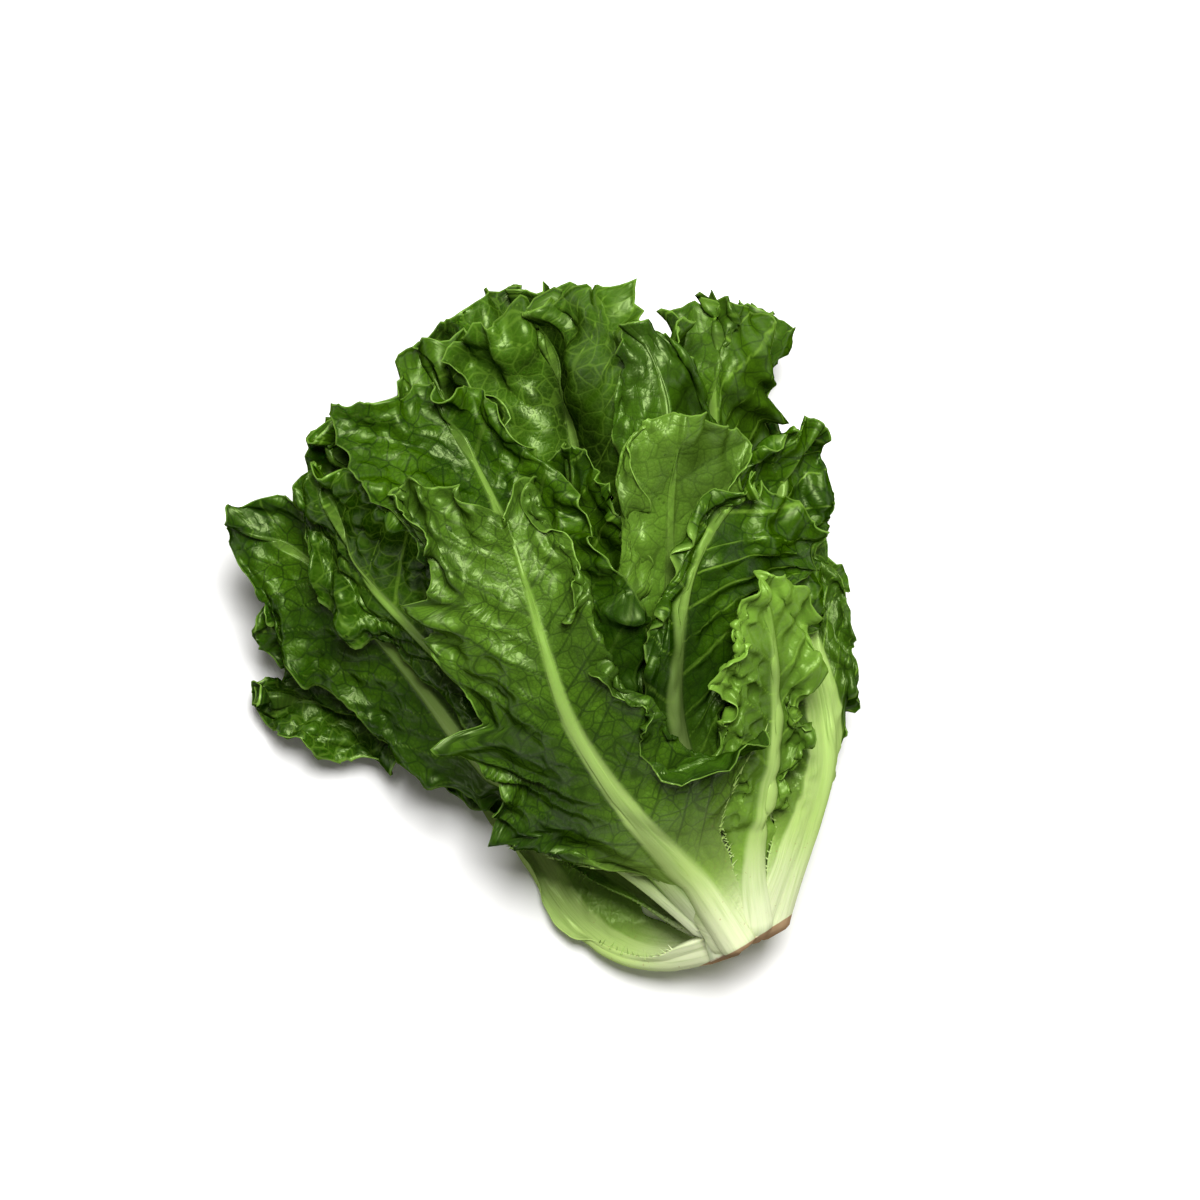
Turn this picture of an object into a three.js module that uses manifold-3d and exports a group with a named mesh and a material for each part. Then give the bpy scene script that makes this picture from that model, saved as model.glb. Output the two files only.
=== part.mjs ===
// A loose head of romaine lettuce lying on its side: a cut stem, separate leaves set round it in
// layers, and a heart of small young leaves. Millimetres, +Y from the cut stem to the leaf tips,
// +Z up from the surface that the head lies on, origin under the middle of the head.
import * as THREE from "three";
import { mergeVertices } from "three/addons/utils/BufferGeometryUtils.js";
import Module from "manifold-3d";

const wasm = await Module();
wasm.setup();

// Driving dimensions.
const ORIGIN = new THREE.Vector3(-19.76, 140.52, 0); // middle of the head, measured from the stem
const AXIS_HEIGHT = 36; // of the stem's axis above the surface, at the cut face
const AXIS_RISE = 0.1; // climb of the head's axis per millimetre of length
const AXIS_DRIFT = -0.1; // sideways lean of the axis per millimetre of length
const STEM_RADIUS = 15.5; // at the cut face
const STEM_END = 3.5; // radius of its upper end, inside the head
const STEM_LENGTH = 60;
const CUT_HEIGHT = 1.8; // of the cut face at the stem's axis, above the level of the lowest leaves
const CUT_SLOPE = 0.15; // climb of the cut face towards +X, per millimetre
const BLADE = 0.45; // half the thickness of a blade
const PETIOLE = 0.7; // extra half thickness of the sheath where a leaf leaves the stem
const PETIOLE_SHARE = 0.24; // share of a leaf's length over which that extra dies away
const RIB_WIDTH = [8.5, 1.3]; // half width of a midrib at its foot and at its tip
const RIB_HEIGHT = [4.4, 0.5]; // how far a midrib stands out, at its foot and at its tip
const RIB_YOUNG = 0.06; // loss of that height per millimetre that a leaf grows higher on the stem
const GAP = 0.4; // clearance between neighbouring solids
const PRESSED = 1.2; // how far the surface flattens a midrib or a fold that lies on it
const TIP = 0.15; // how far the margin falls short of the midrib's tip, as a share of the length
const LOBE = 0.1; // height of the margin's lobes, as a share of the half width
const LOBES = 3.4; // lobes along a margin
const TURN_SHARE = 0.6; // share of a leaf's length over which its twist is complete
const FLAT = [[0, 0], [0, 0]]; // no curl on either half of a blade
const FOLD = [0.45, 0.55]; // where a curl begins, and over what share of the half width it grows

// How the leaves are laid on each other.
const MAP = { x: -210, y: -50, columns: 140, rows: 130, cell: 3 }; // the surface, in cells
const FINE = 5; // samples along each side of a net's square, to mark the cells it covers
const SPAN = 6; // sideways distance within which two leaves touch
const ROOM = 1.4; // space kept between blades on top of their thickness
const SHARED = 0.6; // share of the space above a leaf that its waves may take
const FOOT_END = 34; // height on the stem up to which a leaf stays where it grows
const SPREADS = 5; // passes that spread a lift over the blade

// The leaves and the heart as they lie, from the surface up.
const PILE = ["leaf_under", "leaf_low_left", "leaf_low_right", "leaf_left_floor", "leaf_under_left",
  "leaf_under_right", "leaf_right_floor", "leaf_back", "leaf_left_tip", "leaf_right_edge",
  "leaf_far_right", "heart", "leaf_crown_back", "leaf_left_rib", "leaf_crown_right",
  "leaf_right_tip", "leaf_crown_left", "leaf_crown_front", "leaf_pale_tip", "leaf_inner",
  "leaf_left_front", "leaf_rolled", "leaf_second", "leaf_mid", "leaf_right_front", "leaf_front"];

// The net of a leaf, from foot to tip and from its left margin to its right one. The solids are made
// on every second row and column of it.
const ROWS = 21;
const COLUMNS = 17;
const STRIDE = 2;
const MIDDLE = (COLUMNS - 1) / 2;

// Leaves from the outermost inwards, seen from outside with the tip up, before the head is centred.
// foot: [degrees round the stem from straight up towards +X, height on the stem].
// via: points that the midrib passes, the last one at the tip.
// left, right: half widths of the blade at equal steps of its length, from the foot.
// cup: bend of each half blade towards the heart, in degrees, at every fifth after the foot.
// curl: further bend of the outer part of the [left, right] half blade, in degrees, at equal steps.
// fold: where that outer part begins, and over what share of the half width its bend grows.
// pleat: [degrees, number] of the lengthwise pleats of each half. turn: twist of the blade, in degrees.
// tip: how far the [left, right] margin falls short of the midrib's tip, as a share of the length.
// wave: [height, number, phase] of the frill. upper_out: the upper face looks away from the heart.
const LEAVES = [
  { name: "leaf_front", foot: [-12, 4], via: [[-10, 34, 64], [-24, 75, 86], [-31, 112, 99],
    [-29, 146, 106], [-26, 179, 111], [-25, 203, 117]],
    left: [13, 10, 16, 36, 58, 54, 48, 36, 46, 48, 42],
    right: [13, 14, 24, 56, 60, 58, 34, 40, 40, 24, 30], cup: [50, 46, 36, 20, -4],
    curl: [[0, 0, -40, -60, -70], [0, 0, 0, -10, -150, -170, -120, -170, -160, -60, -110]],
    fold: [0.5, 0.2], tip: [-0.12, 0.05], wave: [6, 3, 0.2] },
  { name: "leaf_low_left", foot: [-108, 3], via: [[-34, 5, 22], [-52, 15, 14], [-65, 36, 7],
    [-71, 64, 2], [-75, 94, 0.6], [-84, 122, 2], [-98, 146, 5]], left: [14, 26, 42, 54, 46, 30],
    right: [12, 6, 4, 4, 6, 12], cup: [60, 46, 30, 16, 0], turn: -50, wave: [4, 3, 0.4] },
  { name: "leaf_right_edge", foot: [80, 5], via: [[26, 17, 42], [46, 39, 44], [59, 58, 46],
    [65, 78, 48], [68, 100, 51], [71, 124, 55], [75, 146, 60]], left: [13, 22, 32, 36, 36, 28],
    right: [13, 14, 30, 38, 36, 28], cup: [70, 64, 44, 20, -10], turn: -30, wave: [5, 3, 1.3] },
  { name: "leaf_low_right", foot: [132, 3], via: [[18, 18, 12], [36, 48, 5], [50, 84, 1.6],
    [60, 120, 1.6], [70, 150, 5]], left: [12, 14, 30, 36, 34, 26], right: [12, 12, 16, 24, 34, 28],
    cup: [50, 40, 26, 14, 0], turn: 24, wave: [4, 3, 2.1] },
  { name: "leaf_right_front", foot: [34, 8], via: [[17, 36, 62], [38, 70, 79], [51, 104, 88],
    [55, 122, 92], [59, 138, 98]], left: [12, 10, 20, 26, 30, 28], right: [13, 15, 18, 18, 22, 22],
    cup: [56, 46, 26, 6, -30], curl: [[-20, -20], [20, 20]], wave: [6, 3.5, 2.6] },
  { name: "leaf_under", foot: [178, 6], via: [[0, 34, 7], [-10, 80, 2.4], [-18, 130, 1.6],
    [-24, 180, 2], [-28, 216, 4]], left: [17, 36, 48, 56, 54, 40], right: [13, 22, 44, 54, 52, 40],
    cup: [36, 24, 14, 6, 0], wave: [3, 3, 0.9] },
  { name: "leaf_left_front", foot: [-52, 11], via: [[-24, 44, 64], [-42, 86, 76], [-58, 126, 83],
    [-74, 164, 87], [-86, 202, 90], [-86, 242, 94]], left: [11, 9, 9, 14, 28, 30],
    right: [11, 9, 24, 38, 42, 36], cup: [30, 30, 30, 40, 30], pleat: [24, 1], turn: 16,
    wave: [7, 3, 1.1], upper_out: true },
  { name: "leaf_mid", foot: [22, 14], via: [[8, 46, 58], [4, 74, 72], [7, 98, 81], [16, 120, 85],
    [31, 146, 88], [50, 163, 92], [70, 172, 99]], left: [11, 10, 16, 12, 9, 10],
    right: [11, 10, 28, 44, 48, 40], cup: [46, 44, 30, 4, -24], tip: [0.15, -0.02],
    wave: [5, 3, 0.7] },
  { name: "leaf_second", foot: [-24, 17], via: [[-16, 52, 64], [-24, 92, 80], [-26, 132, 90],
    [-26, 170, 96], [-27, 204, 100], [-30, 232, 104], [-34, 254, 109]], left: [11, 10, 26, 40, 42, 38],
    right: [11, 10, 30, 38, 30, 24], cup: [40, 40, 26, 6, -24], curl: [[0, 0], [40, 40]],
    tip: [-0.05, 0.1], wave: [6, 3, 2.2] },
  { name: "leaf_left_floor", foot: [-136, 9], via: [[-26, 26, 20], [-48, 60, 16], [-72, 98, 14],
    [-98, 134, 13], [-126, 156, 14], [-151, 167, 16]], left: [12, 14, 30, 34, 34, 26],
    right: [12, 10, 10, 12, 18, 24], cup: [40, 30, 16, 4, -10], turn: -20, wave: [5, 3, 3] },
  { name: "leaf_left_rib", foot: [-70, 15], via: [[-30, 42, 48], [-56, 82, 54], [-73, 114, 57],
    [-82, 146, 58], [-92, 178, 57], [-103, 206, 56], [-116, 224, 55], [-131, 237, 53]],
    left: [10, 9, 20, 32, 38, 30], right: [10, 9, 22, 34, 34, 28], cup: [40, 30, 12, -6, -24],
    turn: 45, wave: [5, 3, 2.4] },
  { name: "leaf_rolled", foot: [14, 20], via: [[6, 92, 70], [14, 124, 80], [26, 152, 89],
    [38, 180, 98], [54, 206, 109]], left: [8, 14, 38, 50, 50, 38], right: [8, 12, 30, 44, 54, 42],
    cup: [0, -30, -50, -50, -30], curl: [[0, 0, -180, -200, -200, -60], [0, 0, -100, -180, -170, -70]],
    fold: [0.4, 0.4], tip: [0.06, 0.06], wave: [3, 3, 1.9], upper_out: true },
  { name: "leaf_right_tip", foot: [80, 17], via: [[28, 50, 50], [47, 86, 60], [60, 120, 65],
    [71, 150, 68], [85, 170, 71], [103, 184, 75]], left: [10, 9, 20, 34, 38, 34],
    right: [10, 9, 20, 32, 36, 32], cup: [40, 36, 20, 4, -20], pleat: [30, 1.5], turn: -36,
    wave: [7, 3, 1.6] },
  { name: "leaf_right_floor", foot: [108, 13], via: [[24, 40, 30], [41, 80, 27], [54, 118, 26],
    [69, 144, 28], [86, 160, 32]], left: [10, 9, 22, 36, 38, 32], right: [10, 9, 22, 32, 32, 28],
    cup: [40, 30, 18, 4, -14], turn: 44, wave: [5, 3, 0.1] },
  { name: "leaf_left_tip", foot: [-104, 20], via: [[-30, 56, 36], [-56, 98, 37], [-78, 138, 38],
    [-98, 168, 38], [-118, 186, 38], [-136, 197, 38]], left: [9, 8, 18, 30, 36, 30],
    right: [9, 8, 18, 34, 36, 28], cup: [36, 26, 12, -4, -20], turn: 60, wave: [5, 3, 0.5] },
  { name: "leaf_inner", foot: [-14, 26], via: [[-10, 110, 74], [-6, 150, 85], [0, 184, 94],
    [8, 213, 102]], left: [7, 7, 12, 20, 22, 16], right: [7, 7, 12, 20, 22, 16],
    cup: [50, 56, 56, 46, 20], wave: [4, 3, 0] },
  { name: "leaf_under_left", foot: [-152, 18], via: [[-22, 60, 19], [-44, 106, 15], [-62, 154, 14],
    [-80, 200, 17], [-92, 238, 23]], left: [9, 12, 32, 44, 46, 38], right: [9, 10, 28, 42, 42, 34],
    cup: [34, 26, 16, 6, -6], wave: [4, 3, 2.8] },
  { name: "leaf_under_right", foot: [152, 22], via: [[12, 64, 20], [28, 112, 16], [44, 158, 15],
    [62, 200, 19], [78, 230, 26]], left: [9, 10, 28, 42, 44, 36], right: [9, 12, 32, 44, 44, 36],
    cup: [34, 26, 16, 6, -6], wave: [4, 3, 1] },
  { name: "leaf_crown_left", foot: [-58, 26], via: [[-46, 130, 73], [-60, 178, 79], [-70, 222, 83],
    [-78, 256, 91]], left: [8, 8, 22, 48, 54, 48], right: [8, 8, 22, 48, 54, 46],
    cup: [40, 36, 20, 0, -26], curl: [[0, 0, -20, -80], [0, 0, -40, -90]], pleat: [44, 1.5],
    wave: [7, 3, 0.3] },
  { name: "leaf_pale_tip", foot: [38, 27], via: [[22, 128, 71], [36, 174, 81], [48, 212, 90],
    [50, 230, 95], [46, 246, 100]], left: [8, 8, 14, 24, 28, 24], right: [8, 8, 14, 24, 28, 22],
    cup: [0, -30, -40, -30, 10], wave: [3, 3, 1.4], upper_out: true },
  { name: "leaf_crown_front", foot: [-30, 31], via: [[-2, 140, 70], [6, 188, 79], [14, 230, 86],
    [16, 270, 96]], left: [8, 8, 22, 48, 54, 50], right: [8, 8, 22, 48, 56, 52],
    cup: [10, -20, -50, -60, -20], curl: [[0, 0, -30, -90], [0, 0, 40, 110]], pleat: [-50, 1.5],
    tip: [0.05, 0], wave: [9, 3, 1.2], upper_out: true },
  { name: "leaf_crown_right", foot: [70, 29], via: [[40, 130, 63], [56, 178, 70], [72, 218, 77],
    [83, 242, 86]], left: [8, 8, 22, 52, 68, 66], right: [8, 8, 22, 40, 42, 34],
    cup: [40, 36, 20, 0, -26], curl: [[0, 0, -30, -60], [0, 0, -20, -60]], pleat: [32, 1.5], turn: -20,
    tip: [-0.02, 0.05], wave: [8, 3, 2.9] },
  { name: "leaf_crown_back", foot: [10, 36], via: [[-24, 140, 55], [-28, 190, 60], [-30, 232, 66],
    [-29, 272, 77]], left: [7, 8, 20, 46, 52, 46], right: [7, 8, 20, 46, 56, 52],
    cup: [34, 30, 16, 0, -20], pleat: [40, 1.5], wave: [8, 3, 2.5] },
  { name: "leaf_far_right", foot: [110, 33], via: [[38, 134, 46], [58, 178, 50], [80, 212, 54],
    [99, 236, 62]], left: [8, 8, 18, 40, 46, 42], right: [8, 8, 18, 42, 48, 42],
    cup: [34, 26, 12, -4, -20], pleat: [26, 1.5], turn: -40, tip: [0.05, 0.05], wave: [7, 3, 0.8] },
  { name: "leaf_back", foot: [184, 32], via: [[-6, 88, 28], [-8, 146, 26], [-4, 200, 29], [4, 246, 36],
    [14, 282, 48]], left: [8, 10, 24, 46, 50, 44], right: [8, 10, 24, 50, 60, 56],
    cup: [34, 26, 12, -4, -20], pleat: [34, 1.5], tip: [0.04, 0.1], wave: [8, 3, 1.7] },
];

// Young leaves of the heart, fused round its core.
const HEART_COUNT = 5;
const HEART_STEP = 137.5; // degrees from one young leaf to the next
const HEART_START = -60;
const HEART_CORE = 6; // radius of the core that they grow from
const HEART_RADIUS = 19; // of the whole heart at its middle
const HEART_END = 196; // height of the heart's top

const lerp = THREE.MathUtils.lerp;
const smooth = (t) => THREE.MathUtils.smoothstep(t, 0, 1);
const radians = THREE.MathUtils.degToRad;

// The head's own axis at height y above the cut face.
const axisAt = (y) => new THREE.Vector3(AXIS_DRIFT * y, y, AXIS_HEIGHT + AXIS_RISE * y);
const stemRadius = (y) => lerp(STEM_RADIUS, STEM_END, y / STEM_LENGTH);
const ALONG = new THREE.Vector3(0, 1, 0);
const outwards = (angle) => new THREE.Vector3(Math.sin(radians(angle)), 0, Math.cos(radians(angle)));

// Radius of the heart at height y.
function heartRadius(y) {
  const share = (y - STEM_LENGTH) / (HEART_END - STEM_LENGTH);
  if (share < 0 || share > 1) return 0;
  return lerp(STEM_END, HEART_RADIUS, smooth(share / 0.4)) * (1 - share ** 4);
}

// Half the thickness of the sheath and blade, a share u of the way from foot to tip.
const bladeHalf = (u) => BLADE + PETIOLE * Math.max(0, 1 - u / PETIOLE_SHARE);
const ribHalfWidth = (u) => lerp(...RIB_WIDTH, Math.pow(u, 0.7));
const ribHeight = (u, foot) => lerp(RIB_HEIGHT[0] - RIB_YOUNG * foot, RIB_HEIGHT[1], Math.pow(u, 0.6));

// A value between those given at equal steps along a leaf, for a share u of its length.
function between(values, u) {
  const place = Math.min(Math.max(u, 0), 1) * (values.length - 1);
  const i = Math.min(Math.floor(place), values.length - 2);
  return lerp(values[i], values[i + 1], smooth(place - i));
}

// The midrib as a curve, with a frame carried along it without twisting.
function midrib(leaf) {
  const [angle, height] = leaf.foot;
  const radius = stemRadius(height) + PETIOLE + BLADE + GAP;
  const foot = axisAt(height).addScaledVector(outwards(angle), radius);
  const points = [foot, ...leaf.via.map((p) => new THREE.Vector3(...p))];
  const curve = new THREE.CatmullRomCurve3(points, false, "catmullrom", 0.5);
  const steps = 60;
  const spots = curve.getSpacedPoints(steps);
  const tangents = spots.map((_, i) =>
    spots[Math.min(i + 1, steps)].clone().sub(spots[Math.max(i - 1, 0)]).normalize());
  const bend = new THREE.Quaternion().setFromUnitVectors(ALONG, tangents[0]);
  let normal = outwards(angle).applyQuaternion(bend);
  return spots.map((spot, i) => {
    const tangent = tangents[i];
    normal = normal.clone().addScaledVector(tangent, -normal.dot(tangent)).normalize();
    return { spot, tangent, normal };
  });
}

// The frame a share t of the way along a midrib, on straight ahead past its tip.
function frameAt(rib, t, turn) {
  const place = Math.max(t, 0) * (rib.length - 1);
  const i = Math.min(Math.floor(place), rib.length - 2);
  const [a, b] = [rib[i], rib[i + 1]];
  const spot = a.spot.clone().lerp(b.spot, place - i);
  const tangent = a.tangent.clone().lerp(b.tangent, place - i).normalize();
  const normal = a.normal.clone().lerp(b.normal, place - i);
  normal.addScaledVector(tangent, -normal.dot(tangent)).normalize();
  normal.applyAxisAngle(tangent, radians(turn) * smooth(t / TURN_SHARE));
  return { spot, normal, across: tangent.clone().cross(normal) };
}

// Half width of the blade on one side, with its lobes and its rounded tip.
function halfWidth(u, side, leaf) {
  const lobes = 1 + LOBE * smooth(u / 0.3) * Math.sin(2 * Math.PI * LOBES * u + leaf.wave[2] + side);
  return between(side < 0 ? leaf.left : leaf.right, u) * lobes;
}

// Distance from the midrib of net column c, whose first step is the half width of the rib.
function lateral(c, u, half) {
  const rib = Math.min(ribHalfWidth(u), 0.6 * half);
  const steps = Math.abs(c) / STRIDE;
  return steps <= 1 ? steps * rib : lerp(rib, half, (steps - 1) / (MIDDLE / STRIDE - 1));
}

// Height of the waves at a share u of the length and s of the half width, greatest at the margin.
function waveHeight(u, s, [height, number, phase]) {
  const edge = Math.max(Math.pow(Math.abs(s), 2.2), Math.pow(u, 9));
  const along = number * (u + 0.4 * (1 - Math.abs(s)) * Math.pow(u, 4));
  const side = s < 0 ? Math.PI * 0.8 : 0;
  return height * edge * smooth(u / 0.45) * Math.sin(2 * Math.PI * along + phase + side);
}

// Points across one half of the blade, as [sideways, outwards] from the midrib, for shares of the
// half width from 0 to 1: an even bend, with a further one near the margin, and pleats.
function crossSection(half, { cup, curl, fold, pleat }, shares) {
  const steps = 24;
  const path = [[0, 0, 0]];
  for (let k = 1; k <= steps; k++) {
    const s = (k - 0.5) / steps;
    const folded = Math.pow(THREE.MathUtils.clamp((s - fold[0]) / fold[1], 0, 1), 1.6);
    const angle = cup * s + curl * folded + pleat[0] * Math.sin(2 * Math.PI * pleat[1] * s);
    const [x, z] = path[k - 1];
    path.push([x + (half / steps) * Math.cos(angle), z - (half / steps) * Math.sin(angle), angle]);
  }
  return shares.map((s) => {
    const i = Math.min(Math.floor(s * steps), steps - 1);
    return [0, 1, 2].map((k) => lerp(path[i][k], path[i + 1][k], s * steps - i));
  });
}

// The middle surface of a leaf as a net of points, row by row.
function leafNet(leaf) {
  const rib = midrib(leaf);
  const footCup = THREE.MathUtils.radToDeg(leaf.left[0] / (stemRadius(leaf.foot[1]) + PETIOLE));
  const net = [];
  for (let row = 0; row < ROWS; row++) {
    const u = row / (ROWS - 1);
    const cup = radians(between([footCup, ...leaf.cup], u));
    const rise = smooth((u - 0.1) / 0.3);
    const [steep, number] = leaf.pleat || [0, 1];
    const pleat = [radians(steep) * rise, number];
    const line = [];
    for (const side of [-1, 1]) {
      const half = halfWidth(u, side, leaf);
      const curl = radians(between((leaf.curl || FLAT)[side < 0 ? 0 : 1], u)) * rise;
      const shares = [];
      for (let c = side < 0 ? MIDDLE : 0; c >= 0 && c <= MIDDLE; c += side) {
        shares.push(lateral(c, u, half) / half);
      }
      const bends = { cup, curl, fold: leaf.fold || FOLD, pleat };
      crossSection(half, bends, shares).forEach(([x, z, angle], k) => {
        if (side > 0 && k === 0) return;
        const s = side * shares[k];
        const short = (leaf.tip || [TIP, TIP])[side < 0 ? 0 : 1];
        const { spot, normal, across } = frameAt(rib, u * (1 - short * u * s * s), leaf.turn || 0);
        const skin = normal.clone().multiplyScalar(Math.cos(angle))
          .addScaledVector(across, side * Math.sin(angle));
        line.push([spot.clone().addScaledVector(across, side * x).addScaledVector(normal, z),
          skin.multiplyScalar(waveHeight(u, s, leaf.wave))]);
      });
    }
    net.push(...line);
  }
  return { leaf, points: net.map(([point]) => point), frill: net.map(([, lift]) => lift) };
}

// A net's point at [row, column], held at its margins.
function netAt(points, row, column) {
  const r = Math.min(Math.max(row, 0), ROWS - 1);
  return points[r * COLUMNS + Math.min(Math.max(column, 0), COLUMNS - 1)];
}

// Unit normals of a net, on the side that faces away from the heart.
function netNormals(points, step = 1) {
  return points.map((_, i) => {
    const [r, c] = [Math.floor(i / COLUMNS), i % COLUMNS];
    const across = netAt(points, r, c + step).clone().sub(netAt(points, r, c - step));
    return across.cross(netAt(points, r + step, c).clone().sub(netAt(points, r - step, c))).normalize();
  });
}

// How far the solid of a leaf stands off its middle surface, [outwards, inwards], at a net point.
function standOff(leaf, i) {
  const u = Math.floor(i / COLUMNS) / (ROWS - 1);
  const rib = ribHeight(u, leaf.foot[1]) * Math.max(0, 1 - Math.abs((i % COLUMNS) - MIDDLE) / STRIDE);
  const half = bladeHalf(u);
  return leaf.upper_out ? [half, half + rib] : [half + rib, half];
}

// Spreads values over the neighbouring net points, so that a leaf bends and doesn't dent.
function spread(values) {
  return values.map((value, i) => {
    const [r, c] = [Math.floor(i / COLUMNS), i % COLUMNS];
    return (value + netAt(values, r - 1, c) + netAt(values, r + 1, c)
      + netAt(values, r, c - 1) + netAt(values, r, c + 1)) / 5;
  });
}

// Distances that the two skins of a leaf stand off its net, [upwards, downwards].
function skins(net, normals, i) {
  const [out, into] = standOff(net.leaf, i);
  return normals[i].z > 0 ? [out, into] : [into, out];
}

// A map of heights over the surface, cell by cell, and what stands over the cells near a point.
const mapOf = (value) => new Float32Array(MAP.columns * MAP.rows).fill(value);
const cellOf = (v, start) => Math.floor((v - start) / MAP.cell);

function around(map, p, pick, start) {
  const reach = Math.round(SPAN / MAP.cell);
  const [column, row] = [cellOf(p.x, MAP.x), cellOf(p.y, MAP.y)];
  let found = start;
  for (let r = row - reach; r <= row + reach; r++) {
    for (let c = column - reach; c <= column + reach; c++) found = pick(found, map[r * MAP.columns + c]);
  }
  return found;
}

// The highest and lowest heights of a leaf over each cell.
function heights(net) {
  const normals = netNormals(net.points);
  const [high, low] = [mapOf(-Infinity), mapOf(Infinity)];
  const mark = (corners, v, w) => {
    const weights = [(1 - v) * (1 - w), (1 - v) * w, v * (1 - w), v * w];
    const mix = (f) => corners.reduce((sum, i, k) => sum + weights[k] * f(i), 0);
    const cell = cellOf(mix((i) => net.points[i].y), MAP.y) * MAP.columns
      + cellOf(mix((i) => net.points[i].x), MAP.x);
    const z = mix((i) => net.points[i].z);
    high[cell] = Math.max(high[cell], z + mix((i) => skins(net, normals, i)[0]));
    low[cell] = Math.min(low[cell], z - mix((i) => skins(net, normals, i)[1]));
  };
  for (let r = 0; r < ROWS - 1; r++) {
    for (let c = 0; c < COLUMNS - 1; c++) {
      const a = r * COLUMNS + c;
      for (let k = 0; k < FINE * FINE; k++) {
        mark([a, a + 1, a + COLUMNS, a + COLUMNS + 1], Math.floor(k / FINE) / FINE, (k % FINE) / FINE);
      }
    }
  }
  return { high, low };
}

// Lays a leaf on what already lies below it. Its foot stays on the stem.
function lay(net, below) {
  const normals = netNormals(net.points);
  const least = net.points.map((p, i) => {
    const [, under] = skins(net, normals, i);
    const free = smooth((p.y - FOOT_END) / FOOT_END);
    const lift = around(below, p, Math.max, -PRESSED - ROOM) + ROOM + under - p.z;
    return Math.max(0, lift) * free;
  });
  let lifts = least;
  for (let k = 0; k < SPREADS; k++) lifts = spread(lifts).map((lift, i) => Math.max(lift, least[i]));
  net.points.forEach((p, i) => { p.z = Math.max(p.z + lifts[i], skins(net, normals, i)[1] - PRESSED); });
}

// Waves a leaf's blade as far as the leaves above and below it leave room.
function wave(net, above, below) {
  const normals = netNormals(net.points);
  net.points.forEach((p, i) => {
    const [over, under] = skins(net, normals, i);
    const move = net.frill[i];
    const space = move.z > 0
      ? (around(above, p, Math.min, Infinity) - ROOM - over - p.z) * SHARED
      : p.z - Math.max(around(below, p, Math.max, -Infinity) + ROOM, -PRESSED) - under;
    p.addScaledVector(move, Math.min(1, Math.max(0, space) / Math.max(Math.abs(move.z), 1e-6)));
  });
}

// Lays the leaves on each other from the surface up, round the heart, and then waves them.
function pile(nets) {
  const order = PILE.map((name) => nets.find((net) => net.leaf.name === name));
  let below = mapOf(-Infinity);
  const maps = order.map((net) => {
    if (net) lay(net, below);
    const map = net ? heights(net) : heartHeights();
    below = below.map((height, i) => Math.max(height, map.high[i]));
    return map;
  });
  order.forEach((net, k) => {
    if (!net) return;
    const over = mapOf(Infinity).map((_, i) => Math.min(...maps.slice(k + 1).map((map) => map.low[i])));
    const under = mapOf(0).map((_, i) => Math.max(...maps.slice(0, k).map((map) => map.high[i])));
    wave(net, over, under);
    maps[k] = heights(net);
  });
}

// Heights of the heart, as a round body about the head's axis.
function heartHeights() {
  const [high, low] = [mapOf(-Infinity), mapOf(Infinity)];
  high.forEach((_, i) => {
    const y = MAP.y + (Math.floor(i / MAP.columns) + 0.5) * MAP.cell;
    const x = MAP.x + ((i % MAP.columns) + 0.5) * MAP.cell;
    const core = axisAt(y);
    const rest = heartRadius(y) ** 2 - (x - core.x) ** 2;
    if (rest > 0) [high[i], low[i]] = [core.z + Math.sqrt(rest), core.z - Math.sqrt(rest)];
  });
  return { high, low };
}

function solidFrom(vertices, triangles) {
  return new wasm.Manifold(new wasm.Mesh({
    numProp: 3, vertProperties: new Float32Array(vertices), triVerts: new Uint32Array(triangles) }));
}

// The closed solid of a leaf: two skins that are split alike, joined round the margin.
function leafSolid(net, extra = 0, stride = STRIDE) {
  const normals = netNormals(net.points, stride);
  const [rows, columns] = [(ROWS - 1) / stride + 1, (COLUMNS - 1) / stride + 1];
  const vertices = [];
  [1, -1].forEach((side, skin) => {
    for (let r = 0; r < rows; r++) {
      for (let c = 0; c < columns; c++) {
        const i = (r * COLUMNS + c) * stride;
        const off = standOff(net.leaf, i)[skin] + extra;
        vertices.push(...net.points[i].clone().addScaledVector(normals[i], side * off).toArray());
      }
    }
  });
  const count = rows * columns;
  const triangles = [];
  const face = (a, b, c) => triangles.push(a, b, c, a + count, c + count, b + count);
  for (let r = 0; r < rows - 1; r++) {
    for (let c = 0; c < columns - 1; c++) {
      const a = r * columns + c;
      const [b, d, e] = [a + 1, a + columns, a + columns + 1];
      const cuts = c < (columns - 1) / 2 ? [[a, b, d], [b, e, d]] : [[a, b, e], [a, e, d]];
      cuts.forEach((cut) => face(...cut));
    }
  }
  const rim = [];
  for (let c = 0; c < columns - 1; c++) rim.push(c);
  for (let r = 0; r < rows - 1; r++) rim.push(r * columns + columns - 1);
  for (let c = columns - 1; c > 0; c--) rim.push((rows - 1) * columns + c);
  for (let r = rows - 1; r > 0; r--) rim.push(r * columns);
  rim.forEach((a, i) => {
    const b = rim[(i + 1) % rim.length];
    triangles.push(a, a + count, b, b, a + count, b + count);
  });
  return solidFrom(vertices, triangles);
}

function largestBody(solid) {
  return solid.decompose().sort((a, b) => b.volume() - a.volume())[0];
}

function geometryOf(solid) {
  const mesh = solid.getMesh();
  const geometry = new THREE.BufferGeometry();
  geometry.setAttribute("position", new THREE.BufferAttribute(mesh.vertProperties, 3));
  geometry.setIndex(new THREE.BufferAttribute(mesh.triVerts, 1));
  geometry.computeVertexNormals();
  return geometry;
}

function solidOf(geometry) {
  const bare = geometry.clone();
  bare.deleteAttribute("normal");
  bare.deleteAttribute("uv");
  const merged = mergeVertices(bare, 1e-3);
  return solidFrom(merged.attributes.position.array, merged.index.array);
}

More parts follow.
